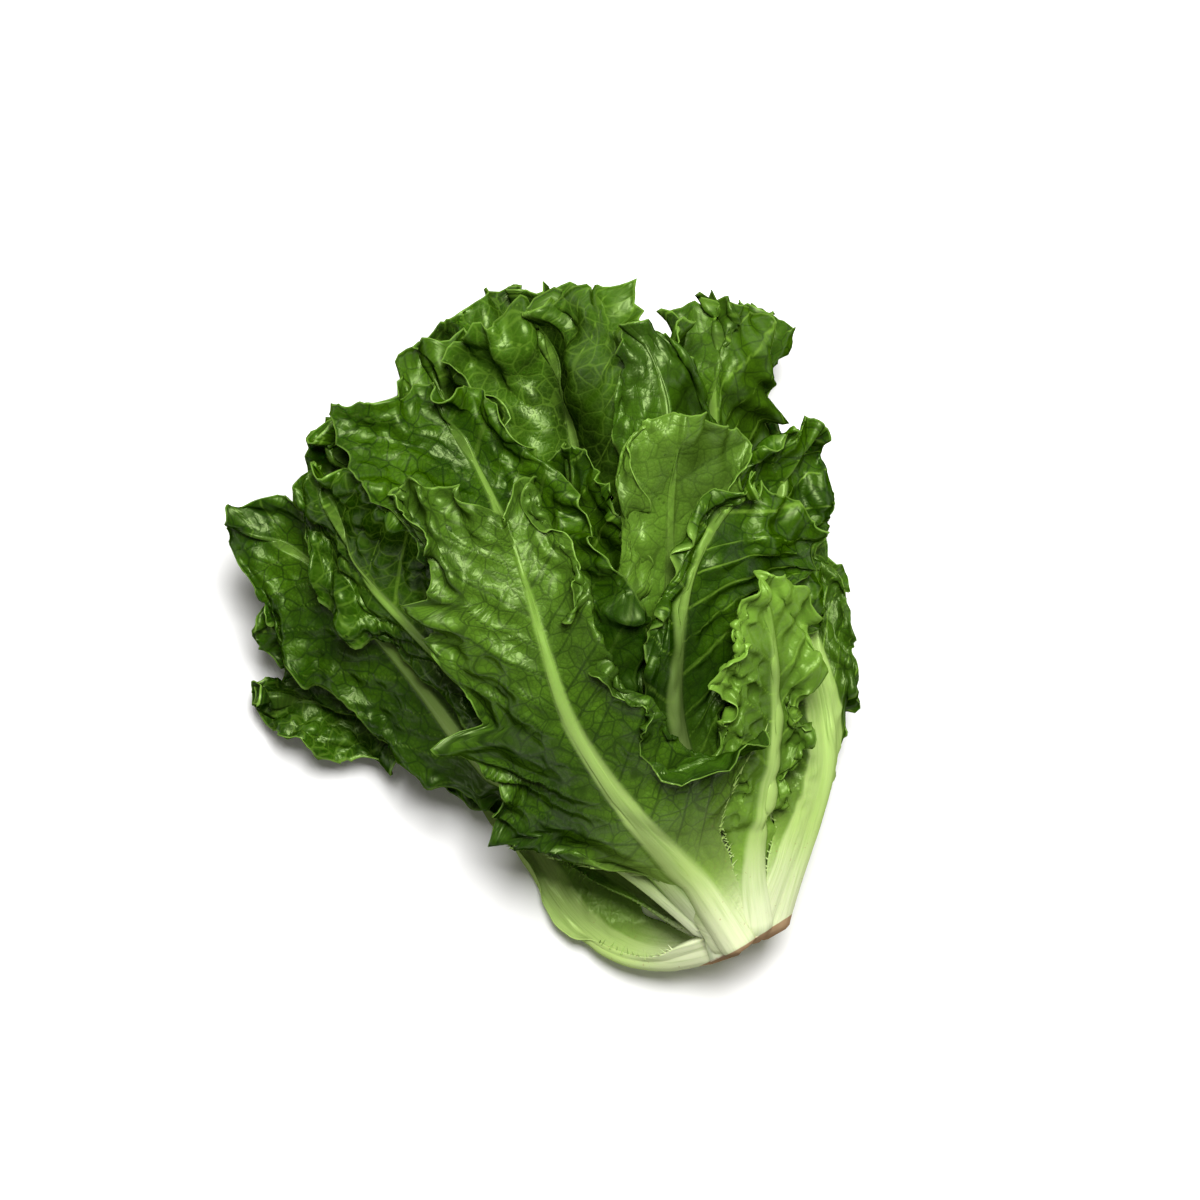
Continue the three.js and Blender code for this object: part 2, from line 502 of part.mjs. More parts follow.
// A body turned about the head's axis, from [radius, height] pairs.
function turned(profile, sides) {
  const shape = new THREE.LatheGeometry(profile.map((p) => new THREE.Vector2(...p)), sides);
  const lean = new THREE.Matrix4().set(
    1, AXIS_DRIFT, 0, 0, 0, 1, 0, 0, 0, AXIS_RISE, 1, AXIS_HEIGHT, 0, 0, 0, 1);
  return solidOf(shape.applyMatrix4(lean));
}

// The stem, cut across with a slight slant, with its skin moved out by some extra.
function stem(extra = 0) {
  const below = -6;
  const whole = turned([[0, below], [stemRadius(below) + extra, below],
    [STEM_END + extra, STEM_LENGTH - 1 + extra], [0, STEM_LENGTH + extra]], 24);
  const normal = new THREE.Vector3(-CUT_SLOPE, 1, 0).normalize();
  return whole.trimByPlane(normal.toArray(), CUT_HEIGHT * normal.y);
}

// Small pale leaves that close over each other, sunk into a slim core above the stem.
function heart() {
  const base = STEM_LENGTH + 2 * GAP;
  let solid = turned([[0, base], [HEART_CORE * 0.6, base], [HEART_CORE, base + 14],
    [HEART_CORE * 0.5, base + 48], [0, base + 60]], 10);
  for (let k = 0; k < HEART_COUNT; k++) {
    const angle = HEART_START + k * HEART_STEP;
    const reach = HEART_RADIUS - 9 - k;
    const out = (y, r) => axisAt(y).addScaledVector(outwards(angle), r).toArray();
    const size = 1 - 0.05 * k;
    const widths = [6, 9, 18, 24, 22, 14].map((w) => w * size);
    const leaf = { foot: [angle, base + 6 + k], left: widths, right: widths, cup: [70, 60, 50, 44, 40],
      wave: [2, 3, k], via: [out(base + 30, reach), out(base + 66, reach + 6),
        out(base + 104 - 3 * k, reach + 6), out(base + 136 - 4 * k, reach + 2)] };
    const net = leafNet(leaf);
    net.points.forEach((p, i) => p.add(net.frill[i]));
    solid = solid.add(leafSolid(net, 0.15, 2 * STRIDE));
  }
  return largestBody(solid);
}

const COLOURS = { stem: 0xe3e6bd, heart: 0xa9c763, leaf: 0x3d7a22 };

function named(name, solid, colour) {
  const material = new THREE.MeshStandardMaterial({ color: colour, roughness: 0.5, metalness: 0 });
  const mesh = new THREE.Mesh(geometryOf(solid), material);
  mesh.name = name;
  return mesh;
}

const head = new THREE.Group();
const nets = LEAVES.map(leafNet);
pile(nets);

// What lies below the surface is pressed flat, and what still crosses is cut back from the inner
// leaf, with a little clearance.
const below = solidOf(new THREE.BoxGeometry(800, 800, 50).translate(0, 100, -25));
const core = stem(GAP);
const solids = [];
nets.forEach((net) => {
  let solid = leafSolid(net);
  if (solid.boundingBox().min[2] < 0) solid = largestBody(solid.subtract(below));
  if (solid.intersect(core).volume() > 0) solid = largestBody(solid.subtract(core));
  solids.forEach((other) => {
    if (solid.intersect(other.solid).volume() > 0) solid = largestBody(solid.subtract(other.swollen));
  });
  solids.push({ name: net.leaf.name, solid, swollen: leafSolid(net, GAP).add(solid) });
});
let heartSolid = heart();
solids.forEach((other) => { heartSolid = largestBody(heartSolid.subtract(other.swollen)); });
head.add(named("stem", stem(), COLOURS.stem));
head.add(named("heart", heartSolid, COLOURS.heart));
solids.forEach(({ name, solid }) => head.add(named(name, solid, COLOURS.leaf)));
head.position.copy(ORIGIN).negate();

export default head;
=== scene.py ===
"""A loose head of romaine lettuce lying on its side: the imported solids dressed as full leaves."""
import functools
import math
from dataclasses import dataclass
from types import SimpleNamespace

import bpy
import numpy as np
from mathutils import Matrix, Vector


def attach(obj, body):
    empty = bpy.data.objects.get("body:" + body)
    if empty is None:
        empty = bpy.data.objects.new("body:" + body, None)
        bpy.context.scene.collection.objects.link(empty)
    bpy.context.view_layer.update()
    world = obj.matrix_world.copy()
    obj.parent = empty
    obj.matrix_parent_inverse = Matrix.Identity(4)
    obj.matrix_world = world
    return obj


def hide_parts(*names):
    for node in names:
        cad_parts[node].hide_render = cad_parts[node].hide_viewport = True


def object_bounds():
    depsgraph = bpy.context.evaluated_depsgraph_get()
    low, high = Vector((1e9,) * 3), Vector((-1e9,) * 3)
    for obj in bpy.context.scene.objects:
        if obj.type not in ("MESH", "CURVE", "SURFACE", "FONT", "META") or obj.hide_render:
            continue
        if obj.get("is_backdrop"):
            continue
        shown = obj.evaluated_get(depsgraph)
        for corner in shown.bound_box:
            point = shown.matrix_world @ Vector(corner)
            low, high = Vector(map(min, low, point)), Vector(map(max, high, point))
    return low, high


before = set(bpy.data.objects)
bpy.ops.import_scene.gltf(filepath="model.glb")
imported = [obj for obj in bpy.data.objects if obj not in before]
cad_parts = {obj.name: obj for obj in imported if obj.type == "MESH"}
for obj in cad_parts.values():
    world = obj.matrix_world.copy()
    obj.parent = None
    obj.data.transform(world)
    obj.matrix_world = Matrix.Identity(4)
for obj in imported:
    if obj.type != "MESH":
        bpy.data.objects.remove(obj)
CAD_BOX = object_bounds()

bl_info = {
    "name": "Romaine Head",
    "version": (1, 0, 0),
    "blender": (4, 5, 0),
    "location": "View3D > Sidebar > Romaine",
    "description": "Builds a loose head of romaine lettuce: stem, leaves, heart and studio",
    "category": "Add Mesh",
}

# ---- Measures of the head, in millimetres, the same as those of its solids ----

ORIGIN = np.array((-19.76, 140.52, 0.0))  # middle of the head, measured from the stem
AXIS_HEIGHT, AXIS_RISE, AXIS_DRIFT = 36, 0.1, -0.1
STEM_RADIUS, STEM_END, STEM_LENGTH = 15.5, 3.5, 60
CUT_HEIGHT, CUT_SLOPE = 1.8, 0.15
BLADE = 0.45
PETIOLE, PETIOLE_SHARE = 0.7, 0.24
RIB_WIDTH, RIB_HEIGHT, RIB_YOUNG = (8.5, 1.3), (4.4, 0.5), 0.06
GAP, PRESSED = 0.4, 1.2
TIP, LOBE, LOBES, TURN_SHARE = 0.15, 0.1, 3.4, 0.6

# How the leaves are laid on each other.
MAP_X, MAP_Y, MAP_COLUMNS, MAP_ROWS, CELL = -210, -50, 140, 130, 3
FINE, SPAN, ROOM, SHARED, FOOT_END, SPREADS = 5, 6, 1.4, 0.6, 34, 5
PILE = (
    "leaf_under", "leaf_low_left", "leaf_low_right", "leaf_left_floor", "leaf_under_left",
    "leaf_under_right", "leaf_right_floor", "leaf_back", "leaf_left_tip", "leaf_right_edge",
    "leaf_far_right", "heart", "leaf_crown_back", "leaf_left_rib", "leaf_crown_right",
    "leaf_right_tip", "leaf_crown_left", "leaf_crown_front", "leaf_pale_tip", "leaf_inner",
    "leaf_left_front", "leaf_rolled", "leaf_second", "leaf_mid", "leaf_right_front", "leaf_front",
)
ROWS, COLUMNS, MIDDLE, STRIDE = 21, 17, 8, 2
RIB_STEPS, CURVE_STEPS, SECTION_STEPS = 60, 200, 24


@dataclass(frozen=True)
class Leaf:
    """One leaf's measures: millimetres, degrees, and shares of its length."""

    name: str
    foot: tuple
    via: tuple
    left: tuple
    right: tuple
    cup: tuple
    curl: tuple = ((0, 0), (0, 0))
    fold: tuple = (0.45, 0.55)
    pleat: tuple = (0, 1)
    turn: float = 0
    tip: tuple = (TIP, TIP)
    wave: tuple = (0, 3, 0)
    upper_out: bool = False


LEAVES = (
    Leaf("leaf_front", (-12, 4), ((-10, 34, 64), (-24, 75, 86), (-31, 112, 99), (-29, 146, 106),
         (-26, 179, 111), (-25, 203, 117)), left=(13, 10, 16, 36, 58, 54, 48, 36, 46, 48, 42),
         right=(13, 14, 24, 56, 60, 58, 34, 40, 40, 24, 30), cup=(50, 46, 36, 20, -4),
         curl=((0, 0, -40, -60, -70), (0, 0, 0, -10, -150, -170, -120, -170, -160, -60, -110)),
         fold=(0.5, 0.2), tip=(-0.12, 0.05), wave=(6, 3, 0.2)),
    Leaf("leaf_low_left", (-108, 3), ((-34, 5, 22), (-52, 15, 14), (-65, 36, 7), (-71, 64, 2),
         (-75, 94, 0.6), (-84, 122, 2), (-98, 146, 5)), left=(14, 26, 42, 54, 46, 30),
         right=(12, 6, 4, 4, 6, 12), cup=(60, 46, 30, 16, 0), turn=-50, wave=(4, 3, 0.4)),
    Leaf("leaf_right_edge", (80, 5), ((26, 17, 42), (46, 39, 44), (59, 58, 46), (65, 78, 48), (68, 100, 51),
         (71, 124, 55), (75, 146, 60)), left=(13, 22, 32, 36, 36, 28), right=(13, 14, 30, 38, 36, 28),
         cup=(70, 64, 44, 20, -10), turn=-30, wave=(5, 3, 1.3)),
    Leaf("leaf_low_right", (132, 3), ((18, 18, 12), (36, 48, 5), (50, 84, 1.6), (60, 120, 1.6),
         (70, 150, 5)), left=(12, 14, 30, 36, 34, 26), right=(12, 12, 16, 24, 34, 28),
         cup=(50, 40, 26, 14, 0), turn=24, wave=(4, 3, 2.1)),
    Leaf("leaf_right_front", (34, 8), ((17, 36, 62), (38, 70, 79), (51, 104, 88), (55, 122, 92),
         (59, 138, 98)), left=(12, 10, 20, 26, 30, 28), right=(13, 15, 18, 18, 22, 22),
         cup=(56, 46, 26, 6, -30), curl=((-20, -20), (20, 20)), wave=(6, 3.5, 2.6)),
    Leaf("leaf_under", (178, 6), ((0, 34, 7), (-10, 80, 2.4), (-18, 130, 1.6), (-24, 180, 2),
         (-28, 216, 4)), left=(17, 36, 48, 56, 54, 40), right=(13, 22, 44, 54, 52, 40),
         cup=(36, 24, 14, 6, 0), wave=(3, 3, 0.9)),
    Leaf("leaf_left_front", (-52, 11), ((-24, 44, 64), (-42, 86, 76), (-58, 126, 83), (-74, 164, 87),
         (-86, 202, 90), (-86, 242, 94)), left=(11, 9, 9, 14, 28, 30), right=(11, 9, 24, 38, 42, 36),
         cup=(30, 30, 30, 40, 30), pleat=(24, 1), turn=16, wave=(7, 3, 1.1), upper_out=True),
    Leaf("leaf_mid", (22, 14), ((8, 46, 58), (4, 74, 72), (7, 98, 81), (16, 120, 85), (31, 146, 88),
         (50, 163, 92), (70, 172, 99)), left=(11, 10, 16, 12, 9, 10), right=(11, 10, 28, 44, 48, 40),
         cup=(46, 44, 30, 4, -24), tip=(0.15, -0.02), wave=(5, 3, 0.7)),
    Leaf("leaf_second", (-24, 17), ((-16, 52, 64), (-24, 92, 80), (-26, 132, 90), (-26, 170, 96),
         (-27, 204, 100), (-30, 232, 104), (-34, 254, 109)), left=(11, 10, 26, 40, 42, 38),
         right=(11, 10, 30, 38, 30, 24), cup=(40, 40, 26, 6, -24), curl=((0, 0), (40, 40)),
         tip=(-0.05, 0.1), wave=(6, 3, 2.2)),
    Leaf("leaf_left_floor", (-136, 9), ((-26, 26, 20), (-48, 60, 16), (-72, 98, 14), (-98, 134, 13),
         (-126, 156, 14), (-151, 167, 16)), left=(12, 14, 30, 34, 34, 26), right=(12, 10, 10, 12, 18, 24),
         cup=(40, 30, 16, 4, -10), turn=-20, wave=(5, 3, 3)),
    Leaf("leaf_left_rib", (-70, 15), ((-30, 42, 48), (-56, 82, 54), (-73, 114, 57), (-82, 146, 58),
         (-92, 178, 57), (-103, 206, 56), (-116, 224, 55), (-131, 237, 53)), left=(10, 9, 20, 32, 38, 30),
         right=(10, 9, 22, 34, 34, 28), cup=(40, 30, 12, -6, -24), turn=45, wave=(5, 3, 2.4)),
    Leaf("leaf_rolled", (14, 20), ((6, 92, 70), (14, 124, 80), (26, 152, 89), (38, 180, 98),
         (54, 206, 109)), left=(8, 14, 38, 50, 50, 38), right=(8, 12, 30, 44, 54, 42),
         cup=(0, -30, -50, -50, -30), curl=((0, 0, -180, -200, -200, -60), (0, 0, -100, -180, -170, -70)),
         fold=(0.4, 0.4), tip=(0.06, 0.06), wave=(3, 3, 1.9), upper_out=True),
    Leaf("leaf_right_tip", (80, 17), ((28, 50, 50), (47, 86, 60), (60, 120, 65), (71, 150, 68),
         (85, 170, 71), (103, 184, 75)), left=(10, 9, 20, 34, 38, 34), right=(10, 9, 20, 32, 36, 32),
         cup=(40, 36, 20, 4, -20), pleat=(30, 1.5), turn=-36, wave=(7, 3, 1.6)),
    Leaf("leaf_right_floor", (108, 13), ((24, 40, 30), (41, 80, 27), (54, 118, 26), (69, 144, 28),
         (86, 160, 32)), left=(10, 9, 22, 36, 38, 32), right=(10, 9, 22, 32, 32, 28),
         cup=(40, 30, 18, 4, -14), turn=44, wave=(5, 3, 0.1)),
    Leaf("leaf_left_tip", (-104, 20), ((-30, 56, 36), (-56, 98, 37), (-78, 138, 38), (-98, 168, 38),
         (-118, 186, 38), (-136, 197, 38)), left=(9, 8, 18, 30, 36, 30), right=(9, 8, 18, 34, 36, 28),
         cup=(36, 26, 12, -4, -20), turn=60, wave=(5, 3, 0.5)),
    Leaf("leaf_inner", (-14, 26), ((-10, 110, 74), (-6, 150, 85), (0, 184, 94), (8, 213, 102)),
         left=(7, 7, 12, 20, 22, 16), right=(7, 7, 12, 20, 22, 16), cup=(50, 56, 56, 46, 20),
         wave=(4, 3, 0)),
    Leaf("leaf_under_left", (-152, 18), ((-22, 60, 19), (-44, 106, 15), (-62, 154, 14), (-80, 200, 17),
         (-92, 238, 23)), left=(9, 12, 32, 44, 46, 38), right=(9, 10, 28, 42, 42, 34),
         cup=(34, 26, 16, 6, -6), wave=(4, 3, 2.8)),
    Leaf("leaf_under_right", (152, 22), ((12, 64, 20), (28, 112, 16), (44, 158, 15), (62, 200, 19),
         (78, 230, 26)), left=(9, 10, 28, 42, 44, 36), right=(9, 12, 32, 44, 44, 36),
         cup=(34, 26, 16, 6, -6), wave=(4, 3, 1)),
    Leaf("leaf_crown_left", (-58, 26), ((-46, 130, 73), (-60, 178, 79), (-70, 222, 83), (-78, 256, 91)),
         left=(8, 8, 22, 48, 54, 48), right=(8, 8, 22, 48, 54, 46), cup=(40, 36, 20, 0, -26),
         curl=((0, 0, -20, -80), (0, 0, -40, -90)), pleat=(44, 1.5), wave=(7, 3, 0.3)),
    Leaf("leaf_pale_tip", (38, 27), ((22, 128, 71), (36, 174, 81), (48, 212, 90), (50, 230, 95),
         (46, 246, 100)), left=(8, 8, 14, 24, 28, 24), right=(8, 8, 14, 24, 28, 22),
         cup=(0, -30, -40, -30, 10), wave=(3, 3, 1.4), upper_out=True),
    Leaf("leaf_crown_front", (-30, 31), ((-2, 140, 70), (6, 188, 79), (14, 230, 86), (16, 270, 96)),
         left=(8, 8, 22, 48, 54, 50), right=(8, 8, 22, 48, 56, 52), cup=(10, -20, -50, -60, -20),
         curl=((0, 0, -30, -90), (0, 0, 40, 110)), pleat=(-50, 1.5), tip=(0.05, 0), wave=(9, 3, 1.2),
         upper_out=True),
    Leaf("leaf_crown_right", (70, 29), ((40, 130, 63), (56, 178, 70), (72, 218, 77), (83, 242, 86)),
         left=(8, 8, 22, 52, 68, 66), right=(8, 8, 22, 40, 42, 34), cup=(40, 36, 20, 0, -26),
         curl=((0, 0, -30, -60), (0, 0, -20, -60)), pleat=(32, 1.5), turn=-20, tip=(-0.02, 0.05),
         wave=(8, 3, 2.9)),
    Leaf("leaf_crown_back", (10, 36), ((-24, 140, 55), (-28, 190, 60), (-30, 232, 66), (-29, 272, 77)),
         left=(7, 8, 20, 46, 52, 46), right=(7, 8, 20, 46, 56, 52), cup=(34, 30, 16, 0, -20),
         pleat=(40, 1.5), wave=(8, 3, 2.5)),
    Leaf("leaf_far_right", (110, 33), ((38, 134, 46), (58, 178, 50), (80, 212, 54), (99, 236, 62)),
         left=(8, 8, 18, 40, 46, 42), right=(8, 8, 18, 42, 48, 42), cup=(34, 26, 12, -4, -20),
         pleat=(26, 1.5), turn=-40, tip=(0.05, 0.05), wave=(7, 3, 0.8)),
    Leaf("leaf_back", (184, 32), ((-6, 88, 28), (-8, 146, 26), (-4, 200, 29), (4, 246, 36), (14, 282, 48)),
         left=(8, 10, 24, 46, 50, 44), right=(8, 10, 24, 50, 60, 56), cup=(34, 26, 12, -4, -20),
         pleat=(34, 1.5), tip=(0.04, 0.1), wave=(8, 3, 1.7)),
)

# Young leaves of the heart.
HEART_STEP, HEART_START, HEART_FULL = 137.5, -60, 8
HEART_RADIUS, HEART_END, HEART_INSET, HEART_ROOM = 19, 196, 9, 1.0
HEART_WIDTHS, HEART_CUP = (6, 9, 18, 24, 22, 14), (70, 60, 50, 44, 40)
HEART_NARROWS = 0.05  # share of its widths that each next leaf loses
# Where a heart leaf runs: how far along, how far out, and how much less along for each next leaf.
HEART_VIA = ((30, 0, 0), (66, 6, 0), (104, 6, 3), (136, 2, 4))

# The stem's mesh. Its lumps are (height, number round it, climb), and its cut face is a little
# rough, with rings at shares of the radius.
STEM_SIDES, STEM_RINGS, STEM_EXTRA = 96, 30, 0.8
STEM_LUMPS = ((0.5, 5, 0.2), (0.4, 8, -1 / 3.4))
STEM_SWELLS = 6  # height over which the lumps begin
CUT_RINGS, CUT_ROUGH = (0.02, 0.5, 0.93), 0.25
CUT_TILT = 0.02  # lean of the cut face, its top edge set back

# The floor, the lamp and the camera, in metres and degrees, with a sensor in millimetres.
FLOOR_HALF, FLOOR_GREY = 3.0, (0.6, 0.6, 0.58, 1)
LAMP_PLACE, LAMP_SIZE = (0.35, 0.45, 1.6), 0.7
SKY_COLOUR = (1, 0.96, 0.88, 1)
CAMERA_OVER, CAMERA_TURN, SENSOR = (0.01696, 0.01158), -22, 36


# ---- The shape of a leaf, as in its solid ----


def smooth(t):
    """An eased step from 0 to 1."""
    t = np.clip(t, 0, 1)
    return t * t * (3 - 2 * t)


def mix(a, b, t):
    return a + (b - a) * t


def unit(v):
    return v / np.maximum(np.linalg.norm(v, axis=-1, keepdims=True), 1e-9)


def between(values, u):
    """Values given at equal steps along a leaf, read at the shares u of its length."""
    values = np.asarray(values, float)
    place = np.clip(u, 0, 1) * (len(values) - 1)
    i = np.minimum(np.floor(place).astype(int), len(values) - 2)
    return mix(values[i], values[i + 1], smooth(place - i))


def stem_radius(y):
    return mix(STEM_RADIUS, STEM_END, y / STEM_LENGTH)


def axis_at(y):
    """The head's own axis at height y above the cut face."""
    y = np.asarray(y, float)
    return np.stack((AXIS_DRIFT * y, y, AXIS_HEIGHT + AXIS_RISE * y), axis=-1)


def outwards(angle):
    a = np.radians(angle)
    return np.stack((np.sin(a), np.zeros_like(a), np.cos(a)), axis=-1)


def blade_half(u):
    return BLADE + PETIOLE * np.maximum(0, 1 - u / PETIOLE_SHARE)


def rib_half_width(u):
    return mix(*RIB_WIDTH, np.power(u, 0.7))


def rib_height(u, foot):
    return mix(RIB_HEIGHT[0] - RIB_YOUNG * foot, RIB_HEIGHT[1], np.power(u, 0.6))


def spline_weights(count, where):
    """Weights that read a smooth curve through count points at the given places."""
    i = np.clip(np.floor(where).astype(int), 0, count - 2)
    w = where - i
    rows = np.arange(len(where))
    padded = np.zeros((len(where), count + 2))
    padded[rows, i] = -0.5 * w + w**2 - 0.5 * w**3
    padded[rows, i + 1] = 1 - 2.5 * w**2 + 1.5 * w**3
    padded[rows, i + 2] = 0.5 * w + 2 * w**2 - 1.5 * w**3
    padded[rows, i + 3] = -0.5 * w**2 + 0.5 * w**3
    weights = padded[:, 1:-1]
    weights[:, 0] += 2 * padded[:, 0]
    weights[:, 1] -= padded[:, 0]
    weights[:, -1] += 2 * padded[:, -1]
    weights[:, -2] -= padded[:, -1]
    return weights


def line_lengths(line):
    """Lengths along a line of points, from its start."""
    return np.append(0, np.cumsum(np.linalg.norm(np.diff(line, axis=0), axis=1)))


def curve_points(points, count):
    """Points at equal steps along a smooth curve through the given ones, and its length."""
    points = np.array(points, float)

    def at(shares):
        return spline_weights(len(points), shares * (len(points) - 1)) @ points

    steps = np.linspace(0, 1, CURVE_STEPS + 1)
    length = line_lengths(at(steps))
    return at(np.interp(np.linspace(0, length[-1], count + 1), length, steps)), length[-1]


def midrib(leaf):
    """Spots along a midrib with a frame carried along it without twisting, and its length."""
    angle, height = leaf.foot
    radius = stem_radius(height) + PETIOLE + BLADE + GAP
    foot = axis_at(height) + outwards(angle) * radius
    spots, length = curve_points((foot, *leaf.via), RIB_STEPS)
    ends = np.pad(spots, ((1, 1), (0, 0)), mode="edge")
    tangents = unit(ends[2:] - ends[:-2])
    # The outward direction, turned as the midrib's start is turned away from the head's length.
    along, start = np.array((0.0, 1.0, 0.0)), outwards(angle)
    pole = np.cross(along, tangents[0])
    normal = start * tangents[0][1] + np.cross(pole, start) + pole * (pole @ start) / (1 + tangents[0][1])
    normals = []
    for tangent in tangents:
        normal = unit(normal - tangent * (normal @ tangent))
        normals.append(normal)
    return spots, tangents, np.array(normals), length


def frames_at(rib, t, turn):
    """Frames at the shares t of a midrib, on straight ahead past its tip."""
    spots, tangents, normals, _ = rib
    place = np.maximum(t, 0) * (len(spots) - 1)
    i = np.minimum(np.floor(place).astype(int), len(spots) - 2)
    w = (place - i)[..., None]
    spot = mix(spots[i], spots[i + 1], w)
    tangent = unit(mix(tangents[i], tangents[i + 1], w))
    normal = mix(normals[i], normals[i + 1], w)
    normal = unit(normal - tangent * np.sum(normal * tangent, axis=-1, keepdims=True))
    twist = (np.radians(turn) * smooth(t / TURN_SHARE))[..., None]
    normal = normal * np.cos(twist) + np.cross(tangent, normal) * np.sin(twist)
    return spot, normal, np.cross(tangent, normal)


def half_width(leaf, u, side):
    lobes = 1 + LOBE * smooth(u / 0.3) * np.sin(2 * np.pi * LOBES * u + leaf.wave[2] + side)
    return between(leaf.left if side < 0 else leaf.right, u) * lobes


def lateral(c, u, half):
    """Distance of net column c from the midrib; its first step is the rib's half width."""
    rib = np.minimum(rib_half_width(u), 0.6 * half)
    steps = np.abs(c) / STRIDE
    return np.where(steps <= 1, steps * rib, mix(rib, half, (steps - 1) / (MIDDLE / STRIDE - 1)))


def wave_height(u, s, wave):
    height, number, phase = wave
    edge = np.maximum(np.abs(s) ** 2.2, u**9)
    along = number * (u + 0.4 * (1 - np.abs(s)) * u**4)
    side = np.where(s < 0, np.pi * 0.8, 0)
    return height * edge * smooth(u / 0.45) * np.sin(2 * np.pi * along + phase + side)


def cross_section(half, cup, curl, fold, pleat, shares):
    """Across one half blade: distances sideways and outwards, and the slope, at the shares."""
    s = (np.arange(SECTION_STEPS) + 0.5) / SECTION_STEPS
    angle = cup * s + curl * np.clip((s - fold[0]) / fold[1], 0, 1) ** 1.6
    angle += pleat[0] * np.sin(2 * np.pi * pleat[1] * s)
    knots = np.linspace(0, 1, SECTION_STEPS + 1)
    step = half / SECTION_STEPS
    paths = (np.cumsum(np.cos(angle)) * step, -np.cumsum(np.sin(angle)) * step, angle)
    return [np.interp(shares, knots, np.append(0, path)) for path in paths]


class Net:
    """The middle surface of a leaf as a net of points, and the waves it would like to make."""

    def __init__(self, leaf):
        self.leaf = leaf
        rib = midrib(leaf)
        self.length = rib[3]
        foot_cup = math.degrees(leaf.left[0] / (stem_radius(leaf.foot[1]) + PETIOLE))
        self.points = np.zeros((ROWS, COLUMNS, 3))
        self.frill = np.zeros((ROWS, COLUMNS, 3))
        self.across = np.zeros((ROWS, COLUMNS))
        for row in range(ROWS):
            u = row / (ROWS - 1)
            cup = math.radians(between((foot_cup, *leaf.cup), u))
            rise = smooth((u - 0.1) / 0.3)
            for k, side in enumerate((-1, 1)):
                half = half_width(leaf, u, side)
                curl = math.radians(between(leaf.curl[k], u)) * rise
                shares = lateral(np.arange(MIDDLE + 1), u, half) / half
                pleat = (math.radians(leaf.pleat[0]) * rise, leaf.pleat[1])
                section = cross_section(half, cup, curl, leaf.fold, pleat, shares)
                x, z, angle = (v[:, None] for v in section)
                s = side * shares
                spot, normal, across = frames_at(rib, u * (1 - leaf.tip[k] * u * s * s), leaf.turn)
                skin = normal * np.cos(angle) + across * (side * np.sin(angle))
                where = MIDDLE + side * np.arange(MIDDLE + 1)
                self.points[row, where] = spot + across * (side * x) + normal * z
                self.frill[row, where] = skin * wave_height(u, s, leaf.wave)[:, None]
                self.across[row, where] = s * half
        u = np.linspace(0, 1, ROWS)[:, None]
        rise = np.maximum(0, 1 - np.abs(np.arange(COLUMNS) - MIDDLE) / STRIDE)
        thin, rib = blade_half(u) + 0 * rise, blade_half(u) + rib_height(u, leaf.foot[1]) * rise
        self.off = (thin, rib) if leaf.upper_out else (rib, thin)  # outwards, inwards

    def skins(self):
        """How far the leaf reaches above and below its net."""
        up = net_normals(self.points)[..., 2] > 0
        return np.where(up, *self.off), np.where(up, *self.off[::-1])

    def heights(self):
        """The highest and lowest heights of the leaf over each cell of the surface."""
        over, under = self.skins()
        values = np.concatenate((self.points, over[..., None], under[..., None]), axis=-1)
        high, low = flat_map(-np.inf), flat_map(np.inf)
        for v in np.arange(FINE) / FINE:
            for w in np.arange(FINE) / FINE:
                side = mix(values[:-1], values[1:], v)
                x, y, z, up, down = np.moveaxis(mix(side[:, :-1], side[:, 1:], w), -1, 0)
                cell = cell_of(x, y)
                np.maximum.at(high, cell, z + up)
                np.minimum.at(low, cell, z - down)
        return high, low

    def space(self, above, below):
        """Free height over and under the leaf at each net point."""
        over, under = self.skins()
        cell = cell_of(self.points[..., 0], self.points[..., 1])
        z = self.points[..., 2]
        up = widened(above, np.minimum)[cell] - ROOM - over - z
        down = z - under - np.maximum(widened(below, np.maximum)[cell] + ROOM, -PRESSED)
        return up, down


def net_normals(points):
    """Unit normals of a net, on the side that faces away from the heart."""
    p = np.pad(points, ((1, 1), (1, 1), (0, 0)), mode="edge")
    return unit(np.cross(p[1:-1, 2:] - p[1:-1, :-2], p[2:, 1:-1] - p[:-2, 1:-1]))


def flat_map(value):
    return np.full(MAP_COLUMNS * MAP_ROWS, value)


def cell_of(x, y):
    column, row = np.floor((x - MAP_X) / CELL), np.floor((y - MAP_Y) / CELL)
    return (row * MAP_COLUMNS + column).astype(int)


def widened(heights, pick):
    """Each cell's highest or lowest neighbour within the span that two leaves touch over."""
    reach = round(SPAN / CELL)
    grid = np.pad(heights.reshape(MAP_ROWS, MAP_COLUMNS), reach, mode="edge")
    found = grid[reach:-reach, reach:-reach]
    for r in range(2 * reach + 1):
        for c in range(2 * reach + 1):
            found = pick(found, grid[r : r + MAP_ROWS, c : c + MAP_COLUMNS])
    return found.ravel()


def lay(net, below):
    """Lays a leaf on what already lies below it. Its foot stays on the stem."""
    _, under = net.skins()
    x, y, z = np.moveaxis(net.points, -1, 0)
    lift = np.maximum(widened(below, np.maximum)[cell_of(x, y)], -PRESSED - ROOM) + ROOM + under - z
    least = np.maximum(0, lift) * smooth((y - FOOT_END) / FOOT_END)
    lifts = least
    for _ in range(SPREADS):
        p = np.pad(lifts, 1, mode="edge")
        lifts = np.maximum((lifts + p[2:, 1:-1] + p[:-2, 1:-1] + p[1:-1, 2:] + p[1:-1, :-2]) / 5, least)
    net.points[..., 2] = np.maximum(z + lifts, under - PRESSED)


